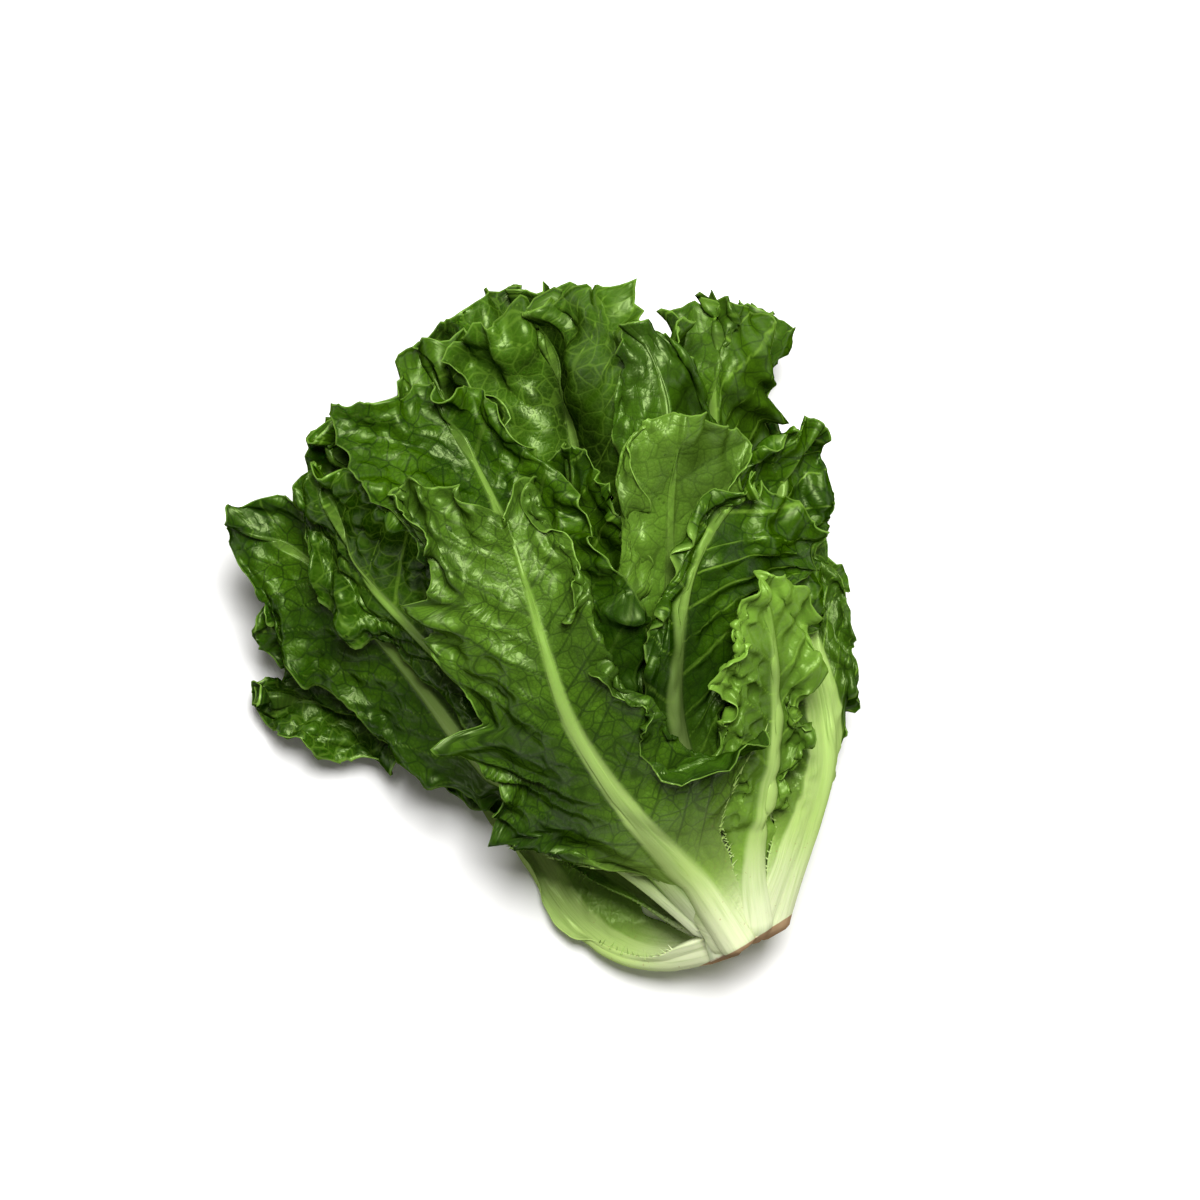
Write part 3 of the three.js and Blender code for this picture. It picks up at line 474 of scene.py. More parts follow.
def wave(net, above, below):
    """Waves a leaf's blade as far as the leaves above and below it leave room."""
    up, down = net.space(above, below)
    rise = net.frill[..., 2]
    room = np.maximum(0, np.where(rise > 0, up * SHARED, down))
    net.points += net.frill * np.minimum(1, room / np.maximum(np.abs(rise), 1e-6))[..., None]


def heart_radius(y):
    share = (y - STEM_LENGTH) / (HEART_END - STEM_LENGTH)
    swell = mix(STEM_END, HEART_RADIUS, smooth(share / 0.4)) * (1 - share**4)
    return np.where((share < 0) | (share > 1), 0, swell)


def heart_heights():
    """Heights of the heart, as a round body about the head's axis."""
    i = np.arange(MAP_COLUMNS * MAP_ROWS)
    y = MAP_Y + (i // MAP_COLUMNS + 0.5) * CELL
    core = axis_at(y)
    rest = heart_radius(y) ** 2 - (MAP_X + (i % MAP_COLUMNS + 0.5) * CELL - core[:, 0]) ** 2
    bulge = np.sqrt(np.maximum(rest, 0))
    inside = rest > 0
    return np.where(inside, core[:, 2] + bulge, -np.inf), np.where(inside, core[:, 2] - bulge, np.inf)


@functools.lru_cache
def piled():
    """All the nets, laid on each other from the surface up and then waved, with their free heights."""
    nets = {leaf.name: Net(leaf) for leaf in LEAVES}
    below = flat_map(-np.inf)
    maps = []
    for name in PILE:
        if name in nets:
            lay(nets[name], below)
        maps.append(nets[name].heights() if name in nets else heart_heights())
        below = np.maximum(below, maps[-1][0])

    def around(k):
        above = np.min([flat_map(np.inf)] + [m[1] for m in maps[k + 1 :]], axis=0)
        return above, np.max([flat_map(-np.inf)] + [m[0] for m in maps[:k]], axis=0)

    for k, name in enumerate(PILE):
        if name in nets:
            wave(nets[name], *around(k))
            maps[k] = nets[name].heights()
    for k, name in enumerate(PILE):
        if name in nets:
            nets[name].room = nets[name].space(*around(k))
    return nets


# ---- The full leaf: margins, ruffles, ribs and swellings ----

MM = 0.001


@dataclass(frozen=True)
class Look:
    """How one leaf is finished: its mesh, its tints and relief, its pale petiole and its outline."""

    rows: int = 94
    columns: int = 22
    pale: float = 0.1  # above 0 lighter towards the tip, below 0 darker in the middle as a painted shade
    warm: float = 0  # yellow cast of the petiole
    ruffle: float = 0.9
    blister: float = 0.6
    dark_veins: float = 0  # 1 where the veins are darker than the blade
    stalk: tuple = (0, 0.3)  # half width in millimetres, and the share of the length it takes
    reach: float = 1  # below 1, the pale colours of the foot reach further up the leaf
    left: tuple = ()  # the true half width at shares of the length, where it has great lobes
    tip: tuple = ()  # how far the tip stands out at shares of the width


FRONT_LOBES = ((0.15, 12), (0.3, 44), (0.34, 60), (0.378, 52), (0.39, 63), (0.44, 52), (0.48, 38),
               (0.53, 44), (0.57, 54), (0.585, 34), (0.63, 36), (0.69, 47), (0.715, 46), (0.73, 42),
               (0.77, 52), (0.8, 35), (0.86, 38), (0.93, 42), (1, 40))
FRONT_TIP = ((-1, -4), (-0.7, 7), (-0.35, 5), (-0.1, -3), (0, -9), (0.12, -2), (0.4, 8), (0.7, 8),
             (1, -4))
# A pale below 0 paints shade over the middle of a leaf that lies behind or under others.
LOOKS = {
    "leaf_front": Look(210, 48, 0.45, 0.2, 0.9, 0.45, 1, (7, 0.85), left=FRONT_LOBES, tip=FRONT_TIP),
    "leaf_second": Look(176, 36, -0.7, 0, 1, 0.6, 0.5, (6, 0.85)),
    "leaf_mid": Look(136, 30, -0.8, 0.1, 0.8, 0.5, 0, (6, 0.5)),
    "leaf_right_front": Look(124, 28, 1.7, 0.1, 1, 1, 0, (9, 0.35), 0.8),
    "leaf_left_front": Look(146, 30, -0.5, 0, 1.1, 1.1),
    "leaf_left_rib": Look(146, 30, -0.4, 0, 0.8, 0.5, 0.3),
    "leaf_rolled": Look(136, 40, 0.85, 0.1, 0.5, 0.3, 0.9),
    "leaf_pale_tip": Look(124, 28, 0.15, 0.1, 0.7, 0.4, 0.9),
    "leaf_right_tip": Look(114, 26, -0.3, 0, 1.1, 0.6),
    "leaf_low_left": Look(124, 28, 0.2, 0.15, 0.3, 0.8, 0, (16, 0.95), 0.55),
    "leaf_right_edge": Look(114, 26, 0.3, 0.15, 0.6, 0.4, 0, (20, 0.95), 0.7),
    "leaf_crown_front": Look(124, 30, 0.15, 0, 1.2, 0.45, 0),
    "leaf_crown_left": Look(114, 26, -0.3, 0, 1.1, 0.6),
    "leaf_crown_right": Look(114, 26, 0.15, 0, 1.1, 0.5),
    "leaf_left_tip": Look(94, 22, -0.3, 0, 1, 1),
    "leaf_left_floor": Look(94, 22, -0.3, 0, 1, 1),
    "leaf_inner": Look(94, 22, -0.4, 0, 1, 0.8),
}
YOUNG_LOOK = Look(64, 12, 0.9, 0.2, 0.8, 0.5)
PRICKLY = ("leaf_front", "leaf_low_left", "leaf_right_edge", "leaf_right_front", "leaf_left_floor",
           "leaf_under")
RIB_COLUMNS = 9
RIB_REACH = 2.2  # half width of the rounded rib, in the net's columns
RIB_FADE = 0.22  # share of a leaf's length over which the rib dies away at the tip
RIB_GROOVE, RIB_GROOVES = 0.15, 3.1  # depth of the petiole's fine grooves, and from one to the next
BLADE_START, BLADE_GROWS = 0.16, 0.25  # shares of the length: where relief starts, and its growth
LEFT_START, TIP_START = 400, 90  # shifts of the left margin's and the tip's patterns from the right's
VEIN_STEP, VEIN_WIDTH = 13.5, 2.6  # from one side vein to the next, and the width of its furrow
VEIN_SLANT, VEIN_BOW, VEIN_WANDER = 0.8, 0.004, (60, 37)  # how side veins run on outwards
UNEVEN, UNEVEN_REACH = 0.8, 14  # slow random rise and fall of a blade, full this far from its rib
RUFFLES = ((33, 0.5), (19, 0.36), (11.5, 0.18))  # wavelengths along the margin and shares of height
RUFFLE_SWELL = 23  # length over which the ruffles gain and lose height
TOOTH_COLUMNS = (5.6, 2.4)  # the net's column where teeth start, and over how many they grow full
TOOTH_ROWS = (2.4, 1.4)  # the same in rows, its start counted back from the number of rows
FOOT_STEP, FOOT_SINK, FOOT_FILL, FOOT_SHARE = 2.2, 0.7, 1.4, 0.09  # how the foot runs into the stem
LEAST_HEIGHT = 0.05  # of any skin above the floor
PATTERN_SPREAD = 370  # greatest random shift of a leaf's surface pattern
PRICKLE_STEP, PRICKLE_SIZES, PRICKLE_SHARE = 2.7, (1.6, 4), 0.3
PRICKLE_START, PRICKLE_JITTER = 9, 0.9
PRICKLE_AIM = (0.9, 0.3, 0.5)  # sideways, onwards, and off the blade at random


def refined(values, rows, columns):
    """A net's values read on a finer grid of row and column places."""
    down, across = spline_weights(ROWS, rows), spline_weights(COLUMNS, columns)
    return np.einsum("ri,ij...,cj->rc...", down, values, across, optimize=True)


def wandering(a, lengths, rng):
    """A slow wander about nought, made of waves of the given lengths."""
    return sum(np.sin(2 * np.pi * a / length + rng.uniform(0, 2 * np.pi)) for length in lengths)


def teeth(a, rng, height, spacing, sharpness):
    """How far the margin stands out at its teeth, with hollow arcs between them."""
    place = a / spacing + 0.16 * wandering(a, (2.9 * spacing, 1.4 * spacing), rng)
    size = 0.65 + 0.35 * np.sin(2.3 * np.round(place) + rng.uniform(0, 2 * np.pi))
    return height * (1 - np.abs(np.sin(np.pi * place))) ** sharpness * size


def margin_teeth(a, rng, sizes):
    """Broad pointed lobes with small teeth between them."""
    broad = teeth(a, rng, sizes.lobe_height, sizes.lobe_spacing, 1.3)
    return broad - 0.3 * sizes.lobe_height + teeth(a, rng, sizes.tooth_height, sizes.tooth_spacing, 1.8)


def cut_level(points):
    """The height along the head at which the cut face crosses each point."""
    return CUT_HEIGHT + CUT_SLOPE * points[..., 0] + CUT_TILT * (points[..., 2] - AXIS_HEIGHT)


def tailed(values):
    """A leaf's values with those of its first row thrice more, for the rows of its foot."""
    return np.concatenate((np.repeat(values[:1], 3, axis=0), values))


def closed_quads(shape):
    """Quads of two skins with the same grid of points, back to back and joined by a rim."""
    count = math.prod(shape)
    index = np.arange(count).reshape(shape)
    corners = (index[:-1, :-1], index[:-1, 1:], index[1:, 1:], index[1:, :-1])
    outer = np.stack(corners, axis=-1).reshape(-1, 4)
    rim = np.concatenate((index[0, :-1], index[:-1, -1], index[-1, :0:-1], index[:0:-1, 0]))
    onward = np.roll(rim, -1)
    sides = np.stack((rim, rim + count, onward + count, onward), axis=-1)
    return np.concatenate((outer, outer[:, ::-1] + count, sides))


class FullLeaf:
    """A leaf's fine middle surface, with what its mesh and its material need.

    c and r are places in the net's columns and rows, and u is the share of the leaf's length.
    x and y are millimetres across the flat blade from its midrib and along it from its foot.
    """

    def __init__(self, net, look, sizes):
        self.leaf, self.look, self.sizes = net.leaf, look, sizes
        self.rng = np.random.default_rng(sum(net.leaf.name.encode()))
        blade = 2 + (MIDDLE - 2) * np.linspace(0, 1, look.columns + 1)[1:]
        half = np.concatenate((np.linspace(0, 2, RIB_COLUMNS + 1), blade))
        self.c = np.concatenate((-half[:0:-1], half))[None, :]
        self.r = np.linspace(0, ROWS - 1, look.rows)
        self.u = (self.r / (ROWS - 1))[:, None] + 0 * self.c
        self.points, self.x = self.fine(net.points), self.fine(net.across)
        self.widths = np.where(self.c < 0, -self.x[:, :1], self.x[:, -1:])
        self.share = np.abs(self.x) / self.widths
        short = np.where(self.c < 0, *net.leaf.tip)
        self.y = net.length * self.u * (1 - short * self.u * self.share**2)
        self.in_side, self.in_tip = self.widths - np.abs(self.x), (1 - self.u) * net.length
        self.edge = np.minimum(self.in_side, self.in_tip)
        self.off_rib = np.maximum(0, np.abs(self.x) - rib_half_width(self.u))
        self.grown = smooth((self.u - BLADE_START) / BLADE_GROWS)
        left, right = (line_lengths(self.points[:, k])[:, None] for k in (0, -1))
        self.along = np.where(self.c < 0, LEFT_START + left, right)
        self.along_tip = line_lengths(self.points[-1])[None, :] + TIP_START + 0 * self.u
        self.raise_blade(net.room)
        self.cut_margins()
        self.thicken()

    def fine(self, values):
        """A net's values read on the leaf's own grid."""
        return refined(values, self.r, self.c[0] + MIDDLE)

    def ruffles(self):
        """Heights of the waves that run along the margins and die away further in."""
        phases = self.rng.uniform(0, 2 * np.pi, 4)

        def ruffled(a):
            swell = 0.75 + 0.5 * np.sin(a / RUFFLE_SWELL + phases[3])
            return swell * sum(h * np.sin(2 * np.pi * a / l + f) for (l, h), f in zip(RUFFLES, phases))

        reach = self.sizes.ruffle_reach
        near, near_tip = (np.clip(1 - v / reach, 0, 1) ** 1.6 for v in (self.in_side, self.in_tip))
        total = near**2 * ruffled(self.along) + near_tip**2 * ruffled(self.along_tip)
        return total / (near + near_tip + 1e-6) * self.look.ruffle * self.sizes.ruffle_height

    def swellings(self):
        """Places the side veins, and gives the heights of the swellings between them."""
        start = self.y - VEIN_SLANT * self.off_rib - VEIN_BOW * self.off_rib**2
        place = start / VEIN_STEP + 0.5 * (self.c < 0) + 0.12 * wandering(start, VEIN_WANDER, self.rng)
        self.vein = np.abs(place - np.round(place)) * VEIN_STEP * 0.75
        swell = 1 - np.exp(-((self.vein / VEIN_WIDTH) ** 2))
        free = smooth(self.off_rib / 7) * self.grown * smooth(self.edge / 4 + 0.3)
        towards_upper = swell if self.leaf.upper_out else 1 - swell
        return towards_upper * free * self.sizes.swell_height * self.look.blister

    def raise_blade(self, room):
        """Raises and sinks the blade, as far as the leaves above and below it leave room."""
        lift = self.ruffles() * self.grown
        lift += self.swellings()
        uneven = UNEVEN * self.fine(self.rng.normal(0, 1, (ROWS, COLUMNS)))
        lift += uneven * smooth(self.off_rib / UNEVEN_REACH) * self.grown
        normals = net_normals(self.points)
        up, down = (np.maximum(self.fine(np.clip(v, 0, 30)), 0) for v in room)
        rise = lift * normals[..., 2]
        allowed = np.where(rise > 0, up, down) + 0.5 * ROOM
        lift *= np.minimum(1, allowed / np.maximum(np.abs(rise), 1e-3))
        self.points = self.points + normals * lift[..., None]

    def cut_margins(self):
        """Moves the outermost columns and rows out along the blade as lobes and teeth."""
        p = np.pad(self.points, ((1, 1), (1, 1), (0, 0)), mode="edge")
        self.sideways, self.onwards = unit(p[1:-1, 2:] - p[1:-1, :-2]), unit(p[2:, 1:-1] - p[:-2, 1:-1])
        start, span = TOOTH_COLUMNS
        bite = margin_teeth(self.along, self.rng, self.sizes) * smooth((np.abs(self.c) - start) / span)
        bite = bite * self.grown * np.sign(self.c) * np.minimum(1, self.widths / 18)
        if self.look.left:
            true = np.interp(self.u[:, :1], *np.transpose(self.look.left))
            bite += np.where(self.c < 0, (self.widths - true) * self.share**1.4, 0)
        bite_tip = margin_teeth(self.along_tip, self.rng, self.sizes)
        if self.look.tip:
            across = np.sign(self.c) * self.share[-1]
            bite_tip = 0.4 * bite_tip + np.interp(across, *np.transpose(self.look.tip))
        start, span = TOOTH_ROWS
        bite_tip = bite_tip * smooth((self.r[:, None] - ROWS + start) / span)
        self.points = self.points + self.sideways * bite[..., None] + self.onwards * bite_tip[..., None]
        self.normals = net_normals(self.points)

    def thicken(self):
        """How far the skins lie from the middle, and where the pale rib and the blisters are."""
        thin = mix(self.sizes.margin_half, self.sizes.blade_half, smooth(self.edge / 5))
        thin = thin + PETIOLE * np.maximum(0, 1 - self.u / PETIOLE_SHARE)
        ends = smooth((1 - self.u) / RIB_FADE)
        dome = np.maximum(0, 1 - (self.c / RIB_REACH) ** 2) ** 1.4 * ends
        height = dome * rib_height(self.u, self.leaf.foot[1])
        grooves = RIB_GROOVE * np.cos(2 * np.pi * self.x / RIB_GROOVES) * smooth(1 - self.u / 0.35) * dome
        ribbed, hollow = thin + height + grooves, thin - 0.1 * height
        self.off = (hollow, ribbed) if self.leaf.upper_out else (ribbed, hollow)
        wide, share = self.look.stalk
        stalk = smooth((wide * np.sqrt(np.maximum(0, 1 - self.u / share)) - np.abs(self.x)) / 2)
        self.rib = np.maximum(smooth((2.1 - np.abs(self.c)) / 0.9) * ends, stalk)
        puff = self.look.blister * smooth(self.off_rib / 6) * smooth(self.edge / 5) * self.grown
        self.puff = puff * smooth((self.points[..., 2] - 2) / 5)

    def foot_rows(self):
        """Three rows that carry the foot down into the stem, no further than its cut face."""
        p = self.points[0]
        back, down = unit(p - self.points[2]), unit(axis_at(p[:, 1]) - p)
        rows = np.array([p + back * FOOT_STEP * k + down * FOOT_SINK * k * k for k in (3, 2, 1)])
        rows[..., 1] = np.maximum(rows[..., 1], cut_level(rows))
        return rows

    def skins(self):
        """Points of the outer and the inner skin, clear of the floor, with the foot's rows."""
        out, into = (tailed(v) for v in self.off)
        into = into + FOOT_FILL * smooth(1 - tailed(self.u) / FOOT_SHARE)
        normals = tailed(self.normals)
        middle = np.concatenate((self.foot_rows(), self.points))
        least = LEAST_HEIGHT + np.abs(normals[..., 2]) * np.maximum(out, into)
        middle[..., 2] = np.maximum(middle[..., 2], least)
        return np.stack((middle + normals * out[..., None], middle - normals * into[..., None]))

    def solid(self):
        """The closed solid with any prickles: its vertices, its quads and its attributes."""
        skins = self.skins()
        quads = closed_quads(skins.shape[1:3])
        skins = skins.reshape(-1, 3)
        count = len(skins) // 2

        def twice(v):
            return np.tile(tailed(v).ravel(), 2)

        upper = np.repeat((1.0, 0.0) if self.leaf.upper_out else (0.0, 1.0), count)
        puff = self.puff if self.leaf.upper_out else -self.puff
        lift = tailed(self.normals * puff[..., None]).reshape(-1, 3)
        shift = 0 * upper + PATTERN_SPREAD * self.rng.uniform()
        values = {
            "flat": np.stack((twice(self.x), twice(self.y), shift), -1) * MM,
            "look": np.stack((twice(self.rib), upper, twice(self.u * self.look.reach)), -1),
            "lines": np.stack((twice(self.edge), twice(self.vein), twice(np.abs(self.x))), -1),
            "tint": np.tile((self.look.pale, self.look.warm, self.look.dark_veins), (2 * count, 1)),
            "lift": np.tile(lift, (2, 1)),
            "aim": np.zeros((2 * count, 3)),
            "cut": np.stack((skins[:, 1] - cut_level(skins), 0 * upper, 0 * upper), -1),
        }
        vertices = (skins - ORIGIN) * MM
        if self.leaf.name in PRICKLY:
            seeds, more = self.prickles(values)
            vertices = np.concatenate((vertices, seeds))
            values = {key: np.concatenate((v, more[key])) for key, v in values.items()}
        return vertices, quads, values

    def prickles(self, values):
        """Loose points on both margins of the petiole, each aimed the way that its prickle grows."""
        seeds, aims, places = [], [], []
        sideways, onwards, astray = PRICKLE_AIM
        for side, sign in ((0, -1), (-1, 1)):
            length = line_lengths(self.points[:, side])
            spots = np.arange(PRICKLE_START, PRICKLE_SHARE * length[-1], PRICKLE_STEP)
            spots = spots + self.rng.uniform(-PRICKLE_JITTER, PRICKLE_JITTER, len(spots))
            i = np.searchsorted(length, spots)
            aim = self.sideways[i, side] * sign * sideways + self.onwards[i, side] * onwards
            aim += self.normals[i, side] * self.rng.uniform(-astray, astray, (len(i), 1))
            seeds.append(self.points[i, side])
            aims.append(unit(aim) * self.rng.uniform(*PRICKLE_SIZES, (len(i), 1)))
            places.append(np.stack((self.x[i, side], self.y[i, side], self.u[i, side]), -1))
        seeds, aims, places = (np.concatenate(v) for v in (seeds, aims, places))
        clear = seeds[:, 2] + np.minimum(aims[:, 2], 0) > 1
        seeds, aims, places = seeds[clear], aims[clear], places[clear]
        blank = np.zeros_like(seeds)
        # A prickle is as pale as the side of a rib, off the margin's line and off the cut face.
        return (seeds - ORIGIN) * MM, {
            "flat": places * (MM, MM, 0),
            "look": blank + places * (0, 0, 1) + (0.6, 0, 0),
            "lines": blank + (1, 5, 5),
            "tint": blank + values["tint"][0],
            "lift": blank,
            "aim": aims * MM,
            "cut": blank + 50,
        }


def leaf_object(name, leaves):
    """One object made of the closed solids of one or more leaves."""
    vertices, quads, values = zip(*(leaf.solid() for leaf in leaves))
    starts = np.cumsum([0] + [len(v) for v in vertices])
    quads = np.concatenate([q + start for q, start in zip(quads, starts)])
    mesh = bpy.data.meshes.new(name)
    mesh.from_pydata(np.concatenate(vertices).tolist(), [], quads.tolist())
    mesh.shade_smooth()
    for key in values[0]:
        vectors = np.concatenate([v[key] for v in values])
        layer = mesh.attributes.new(key, "FLOAT_VECTOR", "POINT")
        layer.data.foreach_set("vector", vectors.astype(np.float32).ravel())
    return linked(name, mesh)


def linked(name, data):
    piece = bpy.data.objects.new(name, data)
    bpy.context.collection.objects.link(piece)
    return piece


# ---- Node trees written as expressions ----


def maths(operation, reflected=False):
    """An operator that adds a Math node. Its reflected form has the wire as the second value."""

    def operator(wire, other):
        values = (other, wire) if reflected else (wire, other)
        return wire.graph.node("ShaderNodeMath", {"operation": operation}, dict(enumerate(values)))

    return operator


class Wire:
    """A socket that can be used in arithmetic: each operation adds its Math node."""

    def __init__(self, graph, socket):
        self.graph, self.socket = graph, socket

    __add__ = __radd__ = maths("ADD")
    __mul__ = __rmul__ = maths("MULTIPLY")
    __sub__, __rsub__ = maths("SUBTRACT"), maths("SUBTRACT", reflected=True)
    __truediv__, __rtruediv__ = maths("DIVIDE"), maths("DIVIDE", reflected=True)
    __gt__, __lt__ = maths("GREATER_THAN"), maths("LESS_THAN")
    least, most = maths("MINIMUM"), maths("MAXIMUM")

    def ease(self, low, high):
        """0 up to low and 1 from high, eased between them."""
        inputs = {"Value": self, "From Min": low, "From Max": high}
        return self.graph.node("ShaderNodeMapRange", {"interpolation_type": "SMOOTHSTEP"}, inputs)

    def parts(self):
        """The three numbers of a vector."""
        node = self.graph.node("ShaderNodeSeparateXYZ", {}, {0: self}).socket.node
        return [Wire(self.graph, socket) for socket in node.outputs]


class Graph:
    """A node tree, with one method that adds any node."""

    def __init__(self, tree):
        self.tree = tree

    def node(self, kind, settings, inputs, output=0):
        """Adds a node, with its settings before its sockets, and gives one of its outputs."""
        node = self.tree.nodes.new(kind)
        for key, value in settings.items():
            setattr(node, key, value)
        self.feed(node, inputs)
        return Wire(self, node.outputs[output])

    def feed(self, node, inputs):
        """Links or sets a node's sockets. A list links several wires to one socket."""
        for key, value in inputs.items():
            for one in value if isinstance(value, list) else [value]:
                if isinstance(one, Wire):
                    self.tree.links.new(one.socket, node.inputs[key])
                else:
                    node.inputs[key].default_value = one

    def layered(self, colour, *layers):
        """A colour with others laid over it, each as strongly as its mask says."""
        for mask, over in layers:
            inputs = {0: mask, 6: colour, 7: over}
            colour = self.node("ShaderNodeMix", {"data_type": "RGBA"}, inputs, 2)
        return colour

    def vector(self, operation, a, b, output=0):
        return self.node("ShaderNodeVectorMath", {"operation": operation}, {0: a, 1: b}, output)

    def scaled(self, vector, scale):
        return self.node("ShaderNodeVectorMath", {"operation": "SCALE"}, {0: vector, "Scale": scale})

    def noise(self, vector, size, detail=2, output=0):
        """Noise with features of about the given size in metres."""
        inputs = {"Vector": vector, "Scale": 1 / size, "Detail": detail, "Roughness": 0.55}
        return self.node("ShaderNodeTexNoise", {}, inputs, output)

    def cells(self, flat, size, bend):
        """Distance, in cell widths, from the net of veins that divides a blade into cells."""
        shift = self.vector("SUBTRACT", self.noise(flat, size * 2.2, 1, output=1), (0.5, 0.5, 0.5))
        bent = self.vector("ADD", flat, self.scaled(shift, bend))
        inputs = {"Vector": bent, "Scale": 1 / size, "Randomness": 0.95}
        return self.node("ShaderNodeTexVoronoi", {"feature": "DISTANCE_TO_EDGE"}, inputs)


BLADE_INPUTS = (
    ("Cell Size", "NodeSocketFloat", 0.007),
    ("Cell Height", "NodeSocketFloat", 0.001),
    ("Cell Bend", "NodeSocketFloat", 0.006),
    ("Prickle Width", "NodeSocketFloat", 0.0007),
    ("Seed", "NodeSocketFloat", 3.0),
    ("Material", "NodeSocketMaterial", None),
)


def blade_tree():
    """Blisters raised between a blade's veins, and prickles grown on its loose points."""
    tree = bpy.data.node_groups.new("romaine_blade", "GeometryNodeTree")
    tree.interface.new_socket("Geometry", in_out="OUTPUT", socket_type="NodeSocketGeometry")
    tree.interface.new_socket("Geometry", in_out="INPUT", socket_type="NodeSocketGeometry")
    for name, kind, default in BLADE_INPUTS:
        socket = tree.interface.new_socket(name, in_out="INPUT", socket_type=kind)
        if default is not None:
            socket.default_value = default
    graph = Graph(tree)
    given = {s.name: Wire(graph, s) for s in tree.nodes.new("NodeGroupInput").outputs}

    def named(attribute):
        kind = "GeometryNodeInputNamedAttribute"
        return graph.node(kind, {"data_type": "FLOAT_VECTOR"}, {"Name": attribute})

    offset = graph.node("ShaderNodeCombineXYZ", {}, {"Z": given["Seed"]})
    flat = graph.vector("ADD", named("flat"), offset)
    distance = graph.cells(flat, given["Cell Size"], given["Cell Bend"])
    patches = graph.noise(flat, 0.028, 1).ease(0.35, 0.62)
    height = distance.ease(0, 0.3) * given["Cell Height"] * (0.2 + 0.8 * patches)

    aim = named("aim")
    long = graph.node("ShaderNodeVectorMath", {"operation": "LENGTH"}, {0: aim}, "Value")
    grows = long > 1e-6
    blade = graph.node("GeometryNodeDeleteGeometry", {"domain": "POINT"},
                       {"Geometry": given["Geometry"], "Selection": grows})
    blade = graph.node("GeometryNodeSetPosition", {},
                       {"Geometry": blade, "Offset": graph.scaled(named("lift"), height)})
    shape = {"Vertices": 6, "Side Segments": 2, "Radius Top": 0.05, "Radius Bottom": 1.0, "Depth": 1.3}
    cone = graph.node("GeometryNodeMeshCone", {}, shape)
    cone = graph.node("GeometryNodeTransform", {}, {"Geometry": cone, "Translation": (0, 0, -0.3)})
    width = given["Prickle Width"]
    size = graph.node("ShaderNodeCombineXYZ", {}, {"X": width, "Y": width, "Z": long})
    turn = graph.node("FunctionNodeAlignRotationToVector", {"axis": "Z"}, {"Vector": aim})
    prickles = graph.node("GeometryNodeInstanceOnPoints", {},
                          {"Points": given["Geometry"], "Selection": grows, "Instance": cone,
                           "Rotation": turn, "Scale": size})
    both = graph.node("GeometryNodeJoinGeometry", {}, {0: [blade, prickles]})
    both = graph.node("GeometryNodeRealizeInstances", {}, {"Geometry": both})
    both = graph.node("GeometryNodeSetMaterial", {}, {"Geometry": both, "Material": given["Material"]})
    graph.feed(tree.nodes.new("NodeGroupOutput"), {0: both})
    return tree


def grown_over(piece, tree, inputs):
    """Gives the piece the tree's result as its plain mesh."""
    modifier = piece.modifiers.new("blade", "NODES")
    modifier.node_group = tree
    for item in tree.interface.items_tree:
        if item.in_out == "INPUT" and item.name in inputs:
            modifier[item.identifier] = inputs[item.name]
    depsgraph = bpy.context.evaluated_depsgraph_get()
    result = bpy.data.meshes.new_from_object(
        piece.evaluated_get(depsgraph), preserve_all_data_layers=True, depsgraph=depsgraph)
    piece.modifiers.clear()
    piece.data = result
    for spent in ("lift", "aim"):
        result.attributes.remove(result.attributes[spent])


# ---- Finishes ----

# Sizes of the patterns in metres. A net also has the distance by which its lines are bent.
BROAD, PATCH, STREAK, SPECK = 0.04, 0.009, 0.0011, 0.0013
NET, FINE_NET = (0.0072, 0.006), (0.0023, 0.0012)
GRAIN, BLOTCH, BOARD_GRAIN = 0.002, 0.006, 0.004
RELIEF = {"Strength": 0.5, "Distance": 0.0005}


def new_finish(name):
    """A material with its tree ready, its Principled node and the tree's graph."""
    material = bpy.data.materials.new(name)
    material.use_nodes = True
    return material, Graph(material.node_tree), material.node_tree.nodes["Principled BSDF"]


def tints():
    """The colours that a user can change, each with its alpha."""
    colours = bpy.context.scene.romaine_colours
    return SimpleNamespace(**{name: (*getattr(colours, name), 1) for name in type(colours).__annotations__})


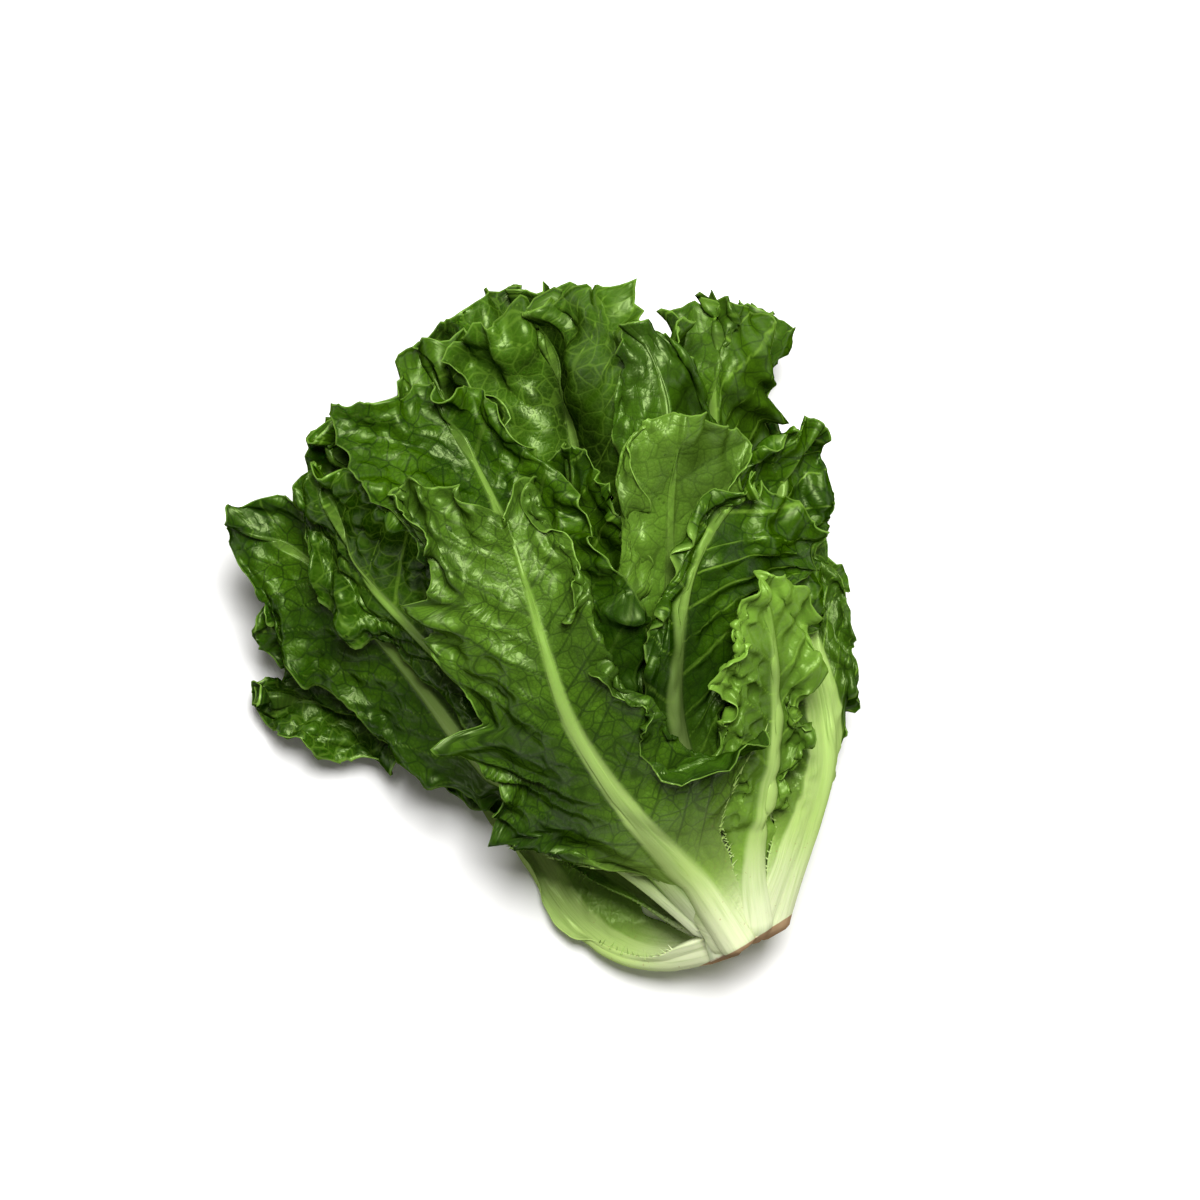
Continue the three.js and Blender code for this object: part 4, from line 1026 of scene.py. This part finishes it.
@functools.lru_cache
def leaf_finish():
    """Leaf skin: green blades with veins, pale ribs and petioles, a thin bright margin that is a painted
    highlight, and painted shade in the middle of some leaves.
    """
    c = tints()
    material, graph, shader = new_finish("romaine_leaf")

    def vector(name):
        return graph.node("ShaderNodeAttribute", {"attribute_name": name}, {}, "Vector")

    flat = vector("flat")
    far = flat.parts()[1]
    rib, upper, along = vector("look").parts()
    edge, vein, off = vector("lines").parts()
    pale, warm, dark_veins = vector("tint").parts()
    cut = vector("cut").parts()[0]
    broad = graph.noise(flat, BROAD, 3)
    patch = graph.noise(flat, PATCH, 3)
    streaks = graph.noise(graph.vector("MULTIPLY", flat, (1, 0.045, 1)), STREAK, 2)
    net, fine = graph.cells(flat, *NET), graph.cells(flat, *FINE_NET)
    side_vein = 1 - vein.ease(0.1, 0.75)
    net_vein = 1 - net.ease(0.01, 0.07)
    fine_vein = 1 - fine.ease(0, 0.16)

    def veins(of_side, of_net, of_fine):
        return (side_vein * of_side).most(net_vein * of_net).most(fine_vein * of_fine)

    tone = (broad * 0.6 + patch * 0.4).ease(0.36, 0.64)
    lines = graph.layered(c.vein, (dark_veins, c.lower_net))
    above = graph.layered(c.upper_dark, (tone, c.upper), (veins(0.75, 0.35, 0.14), lines))
    below = graph.layered(c.lower_dark, (tone, c.lower), (veins(0, 0.75, 0.3), c.lower_net),
                          (side_vein * 0.85, lines))

    by_rib = (1 - off.ease(3, 30)) * (1 - along.ease(0.15, 0.6))
    low = 1 - along.ease(0.06, 0.36)
    light = pale.most(0) * (0.4 + 0.8 * broad) * (0.12 + 0.5 * along.ease(0.4, 0.85))
    young = (light + by_rib * 0.45 + low * 0.6).least(1)
    thin = veins(0.6, 0.4, 0.2) * dark_veins * (1 - low)
    # A painted highlight: the bright line that the margin's thin edge catches from the lamp.
    margin = (1 - edge.ease(0.1, 0.8)) * 0.6
    blade = graph.layered(below, (upper, above), (young, c.young), (thin, c.lower_net), (margin, c.margin))

    stalk = graph.layered(c.butt, (far.ease(0, 0.045), c.rib), (along.ease(0.3, 0.8) * 0.8, c.young),
                          (streaks.ease(0.4, 0.8) * 0.35, c.young))
    ribbed = rib * (1 - 0.75 * upper * dark_veins) * (1 - 0.4 * along)
    ribbed = ribbed.most((1 - along.ease(0.03, 0.17)) * 0.9)
    yellow = warm * (1 - along.ease(0.05, 0.35)) * 0.5
    # Painted shade: a pale below 0 darkens the middle of a leaf that lies behind or under others.
    painted_shade = (0 - pale).most(0) * along.ease(0.1, 0.45) * (1 - along.ease(0.5, 0.85)) * 0.75
    specks = graph.noise(flat, SPECK, 2).ease(0.69, 0.74) * (1 - along.ease(0.12, 0.3))
    browned = 1 - (cut + 0.5 * (patch - 0.5)).ease(-0.2, 0.2)
    brown = (specks * 0.5).most(browned * 0.85)
    skin = graph.layered(blade, (ribbed, stalk), (yellow, c.warm), (painted_shade, c.upper_dark), (brown, c.speck))

    steep = graph.node("ShaderNodeLayerWeight", {}, {"Blend": 0.5}, "Facing")
    rough = 0.4 - 0.04 * upper + 0.25 * (patch - 0.5) + 0.6 * steep.ease(0.2, 0.65)
    relief = fine.ease(0, 0.3) * 0.2 + net.ease(0, 0.2) * 0.4 + vein.ease(0, 1.2) * 0.4
    relief = relief * (1 - rib) + streaks * rib * 0.8
    bump = graph.node("ShaderNodeBump", {}, {"Height": relief} | RELIEF)
    graph.feed(shader, {
        "Base Color": skin, "Roughness": rough, "Normal": bump,
        "Subsurface Weight": 0.08, "Subsurface Radius": (0.5, 1.0, 0.2), "Subsurface Scale": 0.002,
        "Specular IOR Level": 0.4, "Specular Tint": (0.75, 1.0, 0.4, 1),
    })
    # A leaf's gloss is gone where the blade turns away, so that deep folds stay dark and clear.
    matt = graph.node("ShaderNodeBsdfPrincipled", {},
                      {"Base Color": skin, "Normal": bump, "Roughness": 1.0, "Specular IOR Level": 0.0})
    gloss = Wire(graph, shader.outputs["BSDF"])
    surface = graph.node("ShaderNodeMixShader", {}, {0: steep.ease(0.3, 0.6), 1: gloss, 2: matt})
    graph.feed(graph.tree.nodes["Material Output"], {"Surface": surface})
    return material


def stem_finish():
    """Pale stem with a browned, drying cut face."""
    c = tints()
    material, graph, shader = new_finish("romaine_stem")
    place = graph.node("ShaderNodeTexCoord", {}, {}, "Object")
    level = (cut_level(ORIGIN) - ORIGIN[1]) * MM
    depth = graph.vector("DOT_PRODUCT", place, (-CUT_SLOPE, 1, -CUT_TILT), "Value") - level
    grain = graph.noise(place, GRAIN, 3)
    blotches = graph.noise(place, BLOTCH, 2)
    face = graph.layered(c.cut, (grain.ease(0.3, 0.7) * 0.65, c.butt))
    browned = 1 - (depth + (grain - 0.5) * 0.0006).ease(0.0001, 0.0008)
    skin = graph.layered(c.butt, (blotches.ease(0.35, 0.7), c.rib), (browned, face))
    bump = graph.node("ShaderNodeBump", {}, {"Height": grain + blotches} | RELIEF)
    graph.feed(shader, {
        "Base Color": skin, "Roughness": 0.45 + 0.25 * browned, "Normal": bump,
        "Subsurface Weight": 0.15, "Subsurface Radius": (1.0, 0.8, 0.4), "Subsurface Scale": 0.002,
    })
    return material


def floor_finish():
    """Matt pale board."""
    material, graph, shader = new_finish("romaine_floor")
    place = graph.node("ShaderNodeTexCoord", {}, {}, "Object")
    grain = graph.noise(place, BOARD_GRAIN, 2)
    shade = (*bpy.context.scene.romaine_studio.floor, 1)
    skin = graph.layered(shade, (grain * 0.04, FLOOR_GREY))
    graph.feed(shader, {"Base Color": skin, "Roughness": 0.9, "Specular IOR Level": 0.1})
    return material


# ---- What a user would change ----


def number(name, description, default, unit="LENGTH", least=0):
    return bpy.props.FloatProperty(
        name=name, description=description, default=default, min=least, unit=unit, precision=4)


def colour(name, description, default):
    return bpy.props.FloatVectorProperty(
        name=name, description=description, default=default, min=0, max=1, size=3, subtype="COLOR")


class RomaineSizes(bpy.types.PropertyGroup):
    blade_half: number("Blade half", "Half the thickness of a blade", 0.00034)
    margin_half: number("Margin half", "Half the thickness of a blade's margin", 0.0002)
    cell_size: number("Cell size", "Width of the blisters between fine veins", 0.0072)
    cell_height: number("Cell height", "Height of those blisters", 0.0019)
    swell_height: number("Swell height", "Height of the swellings between side veins", 0.0024)
    ruffle_height: number("Ruffle height", "Height of the ruffles along the margins", 0.0072)
    ruffle_reach: number("Ruffle reach", "How far the ruffles reach in from the margin", 0.026)
    tooth_height: number("Tooth height", "How far the margin's small teeth stand out", 0.0013)
    tooth_spacing: number("Tooth spacing", "From one small tooth to the next", 0.0085)
    lobe_height: number("Lobe height", "How far the margin's pointed lobes stand out", 0.0042)
    lobe_spacing: number("Lobe spacing", "From one pointed lobe to the next", 0.022)
    prickle_width: number("Prickle width", "Radius of a petiole's prickles at their base", 0.0005)


class RomaineColours(bpy.types.PropertyGroup):
    upper: colour("Upper face", "Green of a blade's upper face", (0.022, 0.068, 0.0004))
    upper_dark: colour("Upper face, dark", "Darkest green of the upper face", (0.0045, 0.019, 0.0001))
    lower: colour("Lower face", "Green of a blade's lower face", (0.034, 0.09, 0.0008))
    lower_dark: colour("Lower face, dark", "Darkest green of the lower face", (0.0095, 0.033, 0.0002))
    lower_net: colour("Lower net", "Fine veins of the lower face", (0.004, 0.018, 0.0002))
    vein: colour("Vein", "Side veins", (0.11, 0.21, 0.018))
    young: colour("Young", "Yellow-green of young blades", (0.15, 0.285, 0.03))
    # Colour of the painted highlight along the margin's thin edge.
    margin: colour("Margin", "Thin bright line along the margin", (0.16, 0.29, 0.04))
    rib: colour("Rib", "Midribs and petioles", (0.35, 0.49, 0.14))
    butt: colour("Butt", "Petioles where they leave the stem", (0.61, 0.67, 0.42))
    warm: colour("Warm", "Yellow cast at some petioles", (0.6, 0.54, 0.26))
    speck: colour("Speck", "Small brown specks on petioles", (0.26, 0.12, 0.06))
    cut: colour("Cut", "Browned cut face", (0.3, 0.12, 0.06))


class RomaineStudio(bpy.types.PropertyGroup):
    floor: colour("Floor", "Colour of the floor", (0.9, 0.895, 0.89))
    camera_height: number("Camera height", "Height of the camera above the floor", 1.66)
    lens: number("Lens", "Focal length in millimetres", 120, "CAMERA", 20)
    lamp: number("Lamp", "Power of the lamp", 55, "POWER")
    sky: number("Sky", "Strength of the light all round", 0.1, "NONE")
    zenith: number("Zenith", "Strength of the light overhead", 0.2, "NONE")


def in_millimetres(sizes):
    names = type(sizes).__annotations__
    return SimpleNamespace(**{name: getattr(sizes, name) / MM for name in names})


# ---- The pieces ----


def placed(piece, node):
    """Lets a piece ride on the body in place of its node."""
    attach(piece, "root")
    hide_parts(node)


def blade_inputs():
    sizes = bpy.context.scene.romaine_sizes
    return {"Cell Size": sizes.cell_size, "Cell Height": sizes.cell_height,
            "Prickle Width": sizes.prickle_width, "Material": leaf_finish()}


def heart_leaves():
    """Nets of the small pale leaves that close over each other."""
    base = STEM_LENGTH + 2 * GAP
    for k in range(HEART_FULL):
        angle = HEART_START + k * HEART_STEP
        out = outwards(angle)
        reach = HEART_RADIUS - HEART_INSET - k
        widths = tuple(w * (1 - HEART_NARROWS * k) for w in HEART_WIDTHS)
        via = [tuple(axis_at(base + (y - less * k)) + out * (reach + r)) for y, r, less in HEART_VIA]
        net = Net(Leaf(f"heart_{k}", (angle, base + 6 + k), via, widths, widths, HEART_CUP,
                       wave=(2, 3, k)))
        net.points += net.frill
        net.room = (np.full((ROWS, COLUMNS), HEART_ROOM),) * 2
        yield net


def stem_mesh():
    """The turned stem, lumpy where leaves grow from it, cut across with a slight slant."""
    angle = np.linspace(0, 2 * np.pi, STEM_SIDES, endpoint=False)
    heights = np.linspace(0, STEM_LENGTH - 2, STEM_RINGS)
    rings = []
    for share, y in (*((share, 0) for share in CUT_RINGS), *((1, y) for y in heights)):
        lumps = sum(height * np.sin(number * angle + climb * y) for height, number, climb in STEM_LUMPS)
        radius = (stem_radius(y) + STEM_EXTRA + lumps * smooth(y / STEM_SWELLS)) * share
        core = axis_at(y)
        ring = np.stack((core[0] + radius * np.sin(angle), 0 * angle, core[2] + radius * np.cos(angle)), -1)
        face = cut_level(ring)
        ring[:, 1] = np.maximum(y, face) if y > 0 else face + CUT_ROUGH * np.sin(3 * angle + len(rings))
        rings.append(ring)
    points = np.concatenate(rings)
    around = np.arange(STEM_SIDES)
    onward = np.roll(around, -1)
    faces = [around.tolist()]
    for k in range(len(rings) - 1):
        a, b = k * STEM_SIDES, (k + 1) * STEM_SIDES
        faces += np.stack((onward + a, around + a, around + b, onward + b), -1).tolist()
    faces.append((around[::-1] + (len(rings) - 1) * STEM_SIDES).tolist())
    mesh = bpy.data.meshes.new("stem_full")
    mesh.from_pydata(((points - ORIGIN) * MM).tolist(), [], faces)
    mesh.shade_smooth()
    return mesh


class ROMAINE_OT_stem(bpy.types.Operator):
    """Build the cut stem"""

    bl_idname = "romaine.stem"
    bl_label = "Stem"

    def execute(self, context):
        piece = linked("stem_full", stem_mesh())
        piece.data.materials.append(stem_finish())
        placed(piece, "stem")
        return {"FINISHED"}


class ROMAINE_OT_leaves(bpy.types.Operator):
    """Build the open leaves, each in the place of its solid"""

    bl_idname = "romaine.leaves"
    bl_label = "Leaves"

    def execute(self, context):
        sizes, tree, inputs = in_millimetres(context.scene.romaine_sizes), blade_tree(), blade_inputs()
        for k, (name, net) in enumerate(piled().items()):
            full = FullLeaf(net, LOOKS.get(name, Look()), sizes)
            piece = leaf_object(name + "_full", [full])
            grown_over(piece, tree, inputs | {"Seed": 0.3 * k})
            placed(piece, name)
        return {"FINISHED"}


class ROMAINE_OT_heart(bpy.types.Operator):
    """Build the heart of small young leaves"""

    bl_idname = "romaine.heart"
    bl_label = "Heart"

    def execute(self, context):
        sizes = in_millimetres(context.scene.romaine_sizes)
        leaves = [FullLeaf(net, YOUNG_LOOK, sizes) for net in heart_leaves()]
        piece = leaf_object("heart_full", leaves)
        grown_over(piece, blade_tree(), blade_inputs())
        placed(piece, "heart")
        return {"FINISHED"}


def add_floor():
    floor = bpy.data.meshes.new("floor")
    corners = [(x * FLOOR_HALF, y * FLOOR_HALF, 0) for x, y in ((-1, -1), (1, -1), (1, 1), (-1, 1))]
    floor.from_pydata(corners, [], [(0, 1, 2, 3)])
    floor.materials.append(floor_finish())
    linked("floor", floor)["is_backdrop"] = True


def add_lamp(power):
    light = bpy.data.lights.new("lamp", "AREA")
    light.energy, light.size = power, LAMP_SIZE
    lamp = linked("lamp", light)
    lamp.location = LAMP_PLACE
    lamp.rotation_euler = (-Vector(LAMP_PLACE)).to_track_quat("-Z", "Y").to_euler()


def new_sky(level, zenith):
    """Light from all round, which changes to its strength overhead from the horizon up."""
    sky = bpy.data.worlds.new("sky")
    sky.use_nodes = True
    graph = Graph(sky.node_tree)
    height = graph.node("ShaderNodeTexCoord", {}, {}, "Generated").parts()[2]
    strength = (1 - height.most(0)) * (level - zenith) + zenith
    graph.feed(sky.node_tree.nodes["Background"], {"Color": SKY_COLOUR, "Strength": strength})
    return sky


def new_camera(lens, height):
    camera = bpy.data.cameras.new("camera")
    camera.lens, camera.sensor_width = lens, SENSOR
    camera = linked("camera", camera)
    camera.location = (*CAMERA_OVER, height)
    camera.rotation_euler = (0, 0, math.radians(CAMERA_TURN))
    return camera


class ROMAINE_OT_studio(bpy.types.Operator):
    """Set up the pale floor, the soft lamp and the camera above"""

    bl_idname = "romaine.studio"
    bl_label = "Studio"

    def execute(self, context):
        studio = context.scene.romaine_studio
        add_floor()
        add_lamp(studio.lamp)
        context.scene.world = new_sky(studio.sky, studio.zenith)
        context.scene.view_settings.view_transform = "Standard"
        context.scene.camera = new_camera(studio.lens, studio.camera_height)
        return {"FINISHED"}


class ROMAINE_PT_panel(bpy.types.Panel):
    """Operators and sizes of the romaine head"""

    bl_idname = "ROMAINE_PT_panel"
    bl_label = "Romaine Head"
    bl_space_type = "VIEW_3D"
    bl_region_type = "UI"
    bl_category = "Romaine"

    def draw(self, context):
        for operator in OPERATORS:
            self.layout.operator(operator.bl_idname)
        for key, group in GROUPS.items():
            box = self.layout.box()
            for name in group.__annotations__:
                box.prop(getattr(context.scene, key), name)


OPERATORS = (ROMAINE_OT_stem, ROMAINE_OT_leaves, ROMAINE_OT_heart, ROMAINE_OT_studio)
GROUPS = {"romaine_sizes": RomaineSizes, "romaine_colours": RomaineColours, "romaine_studio": RomaineStudio}
CLASSES = (*GROUPS.values(), *OPERATORS, ROMAINE_PT_panel)


def register():
    for cls in CLASSES:
        bpy.utils.register_class(cls)
    for key, group in GROUPS.items():
        setattr(bpy.types.Scene, key, bpy.props.PointerProperty(type=group))


def unregister():
    for key in GROUPS:
        delattr(bpy.types.Scene, key)
    for cls in reversed(CLASSES):
        bpy.utils.unregister_class(cls)


def main():
    register()
    bpy.ops.romaine.stem()
    bpy.ops.romaine.leaves()
    bpy.ops.romaine.heart()
    bpy.ops.romaine.studio()
    boxes = {"cad": CAD_BOX, "visual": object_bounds()}
    sizes = {key: [list(corner) for corner in box] for key, box in boxes.items()}


if __name__ == "__main__":
    main()
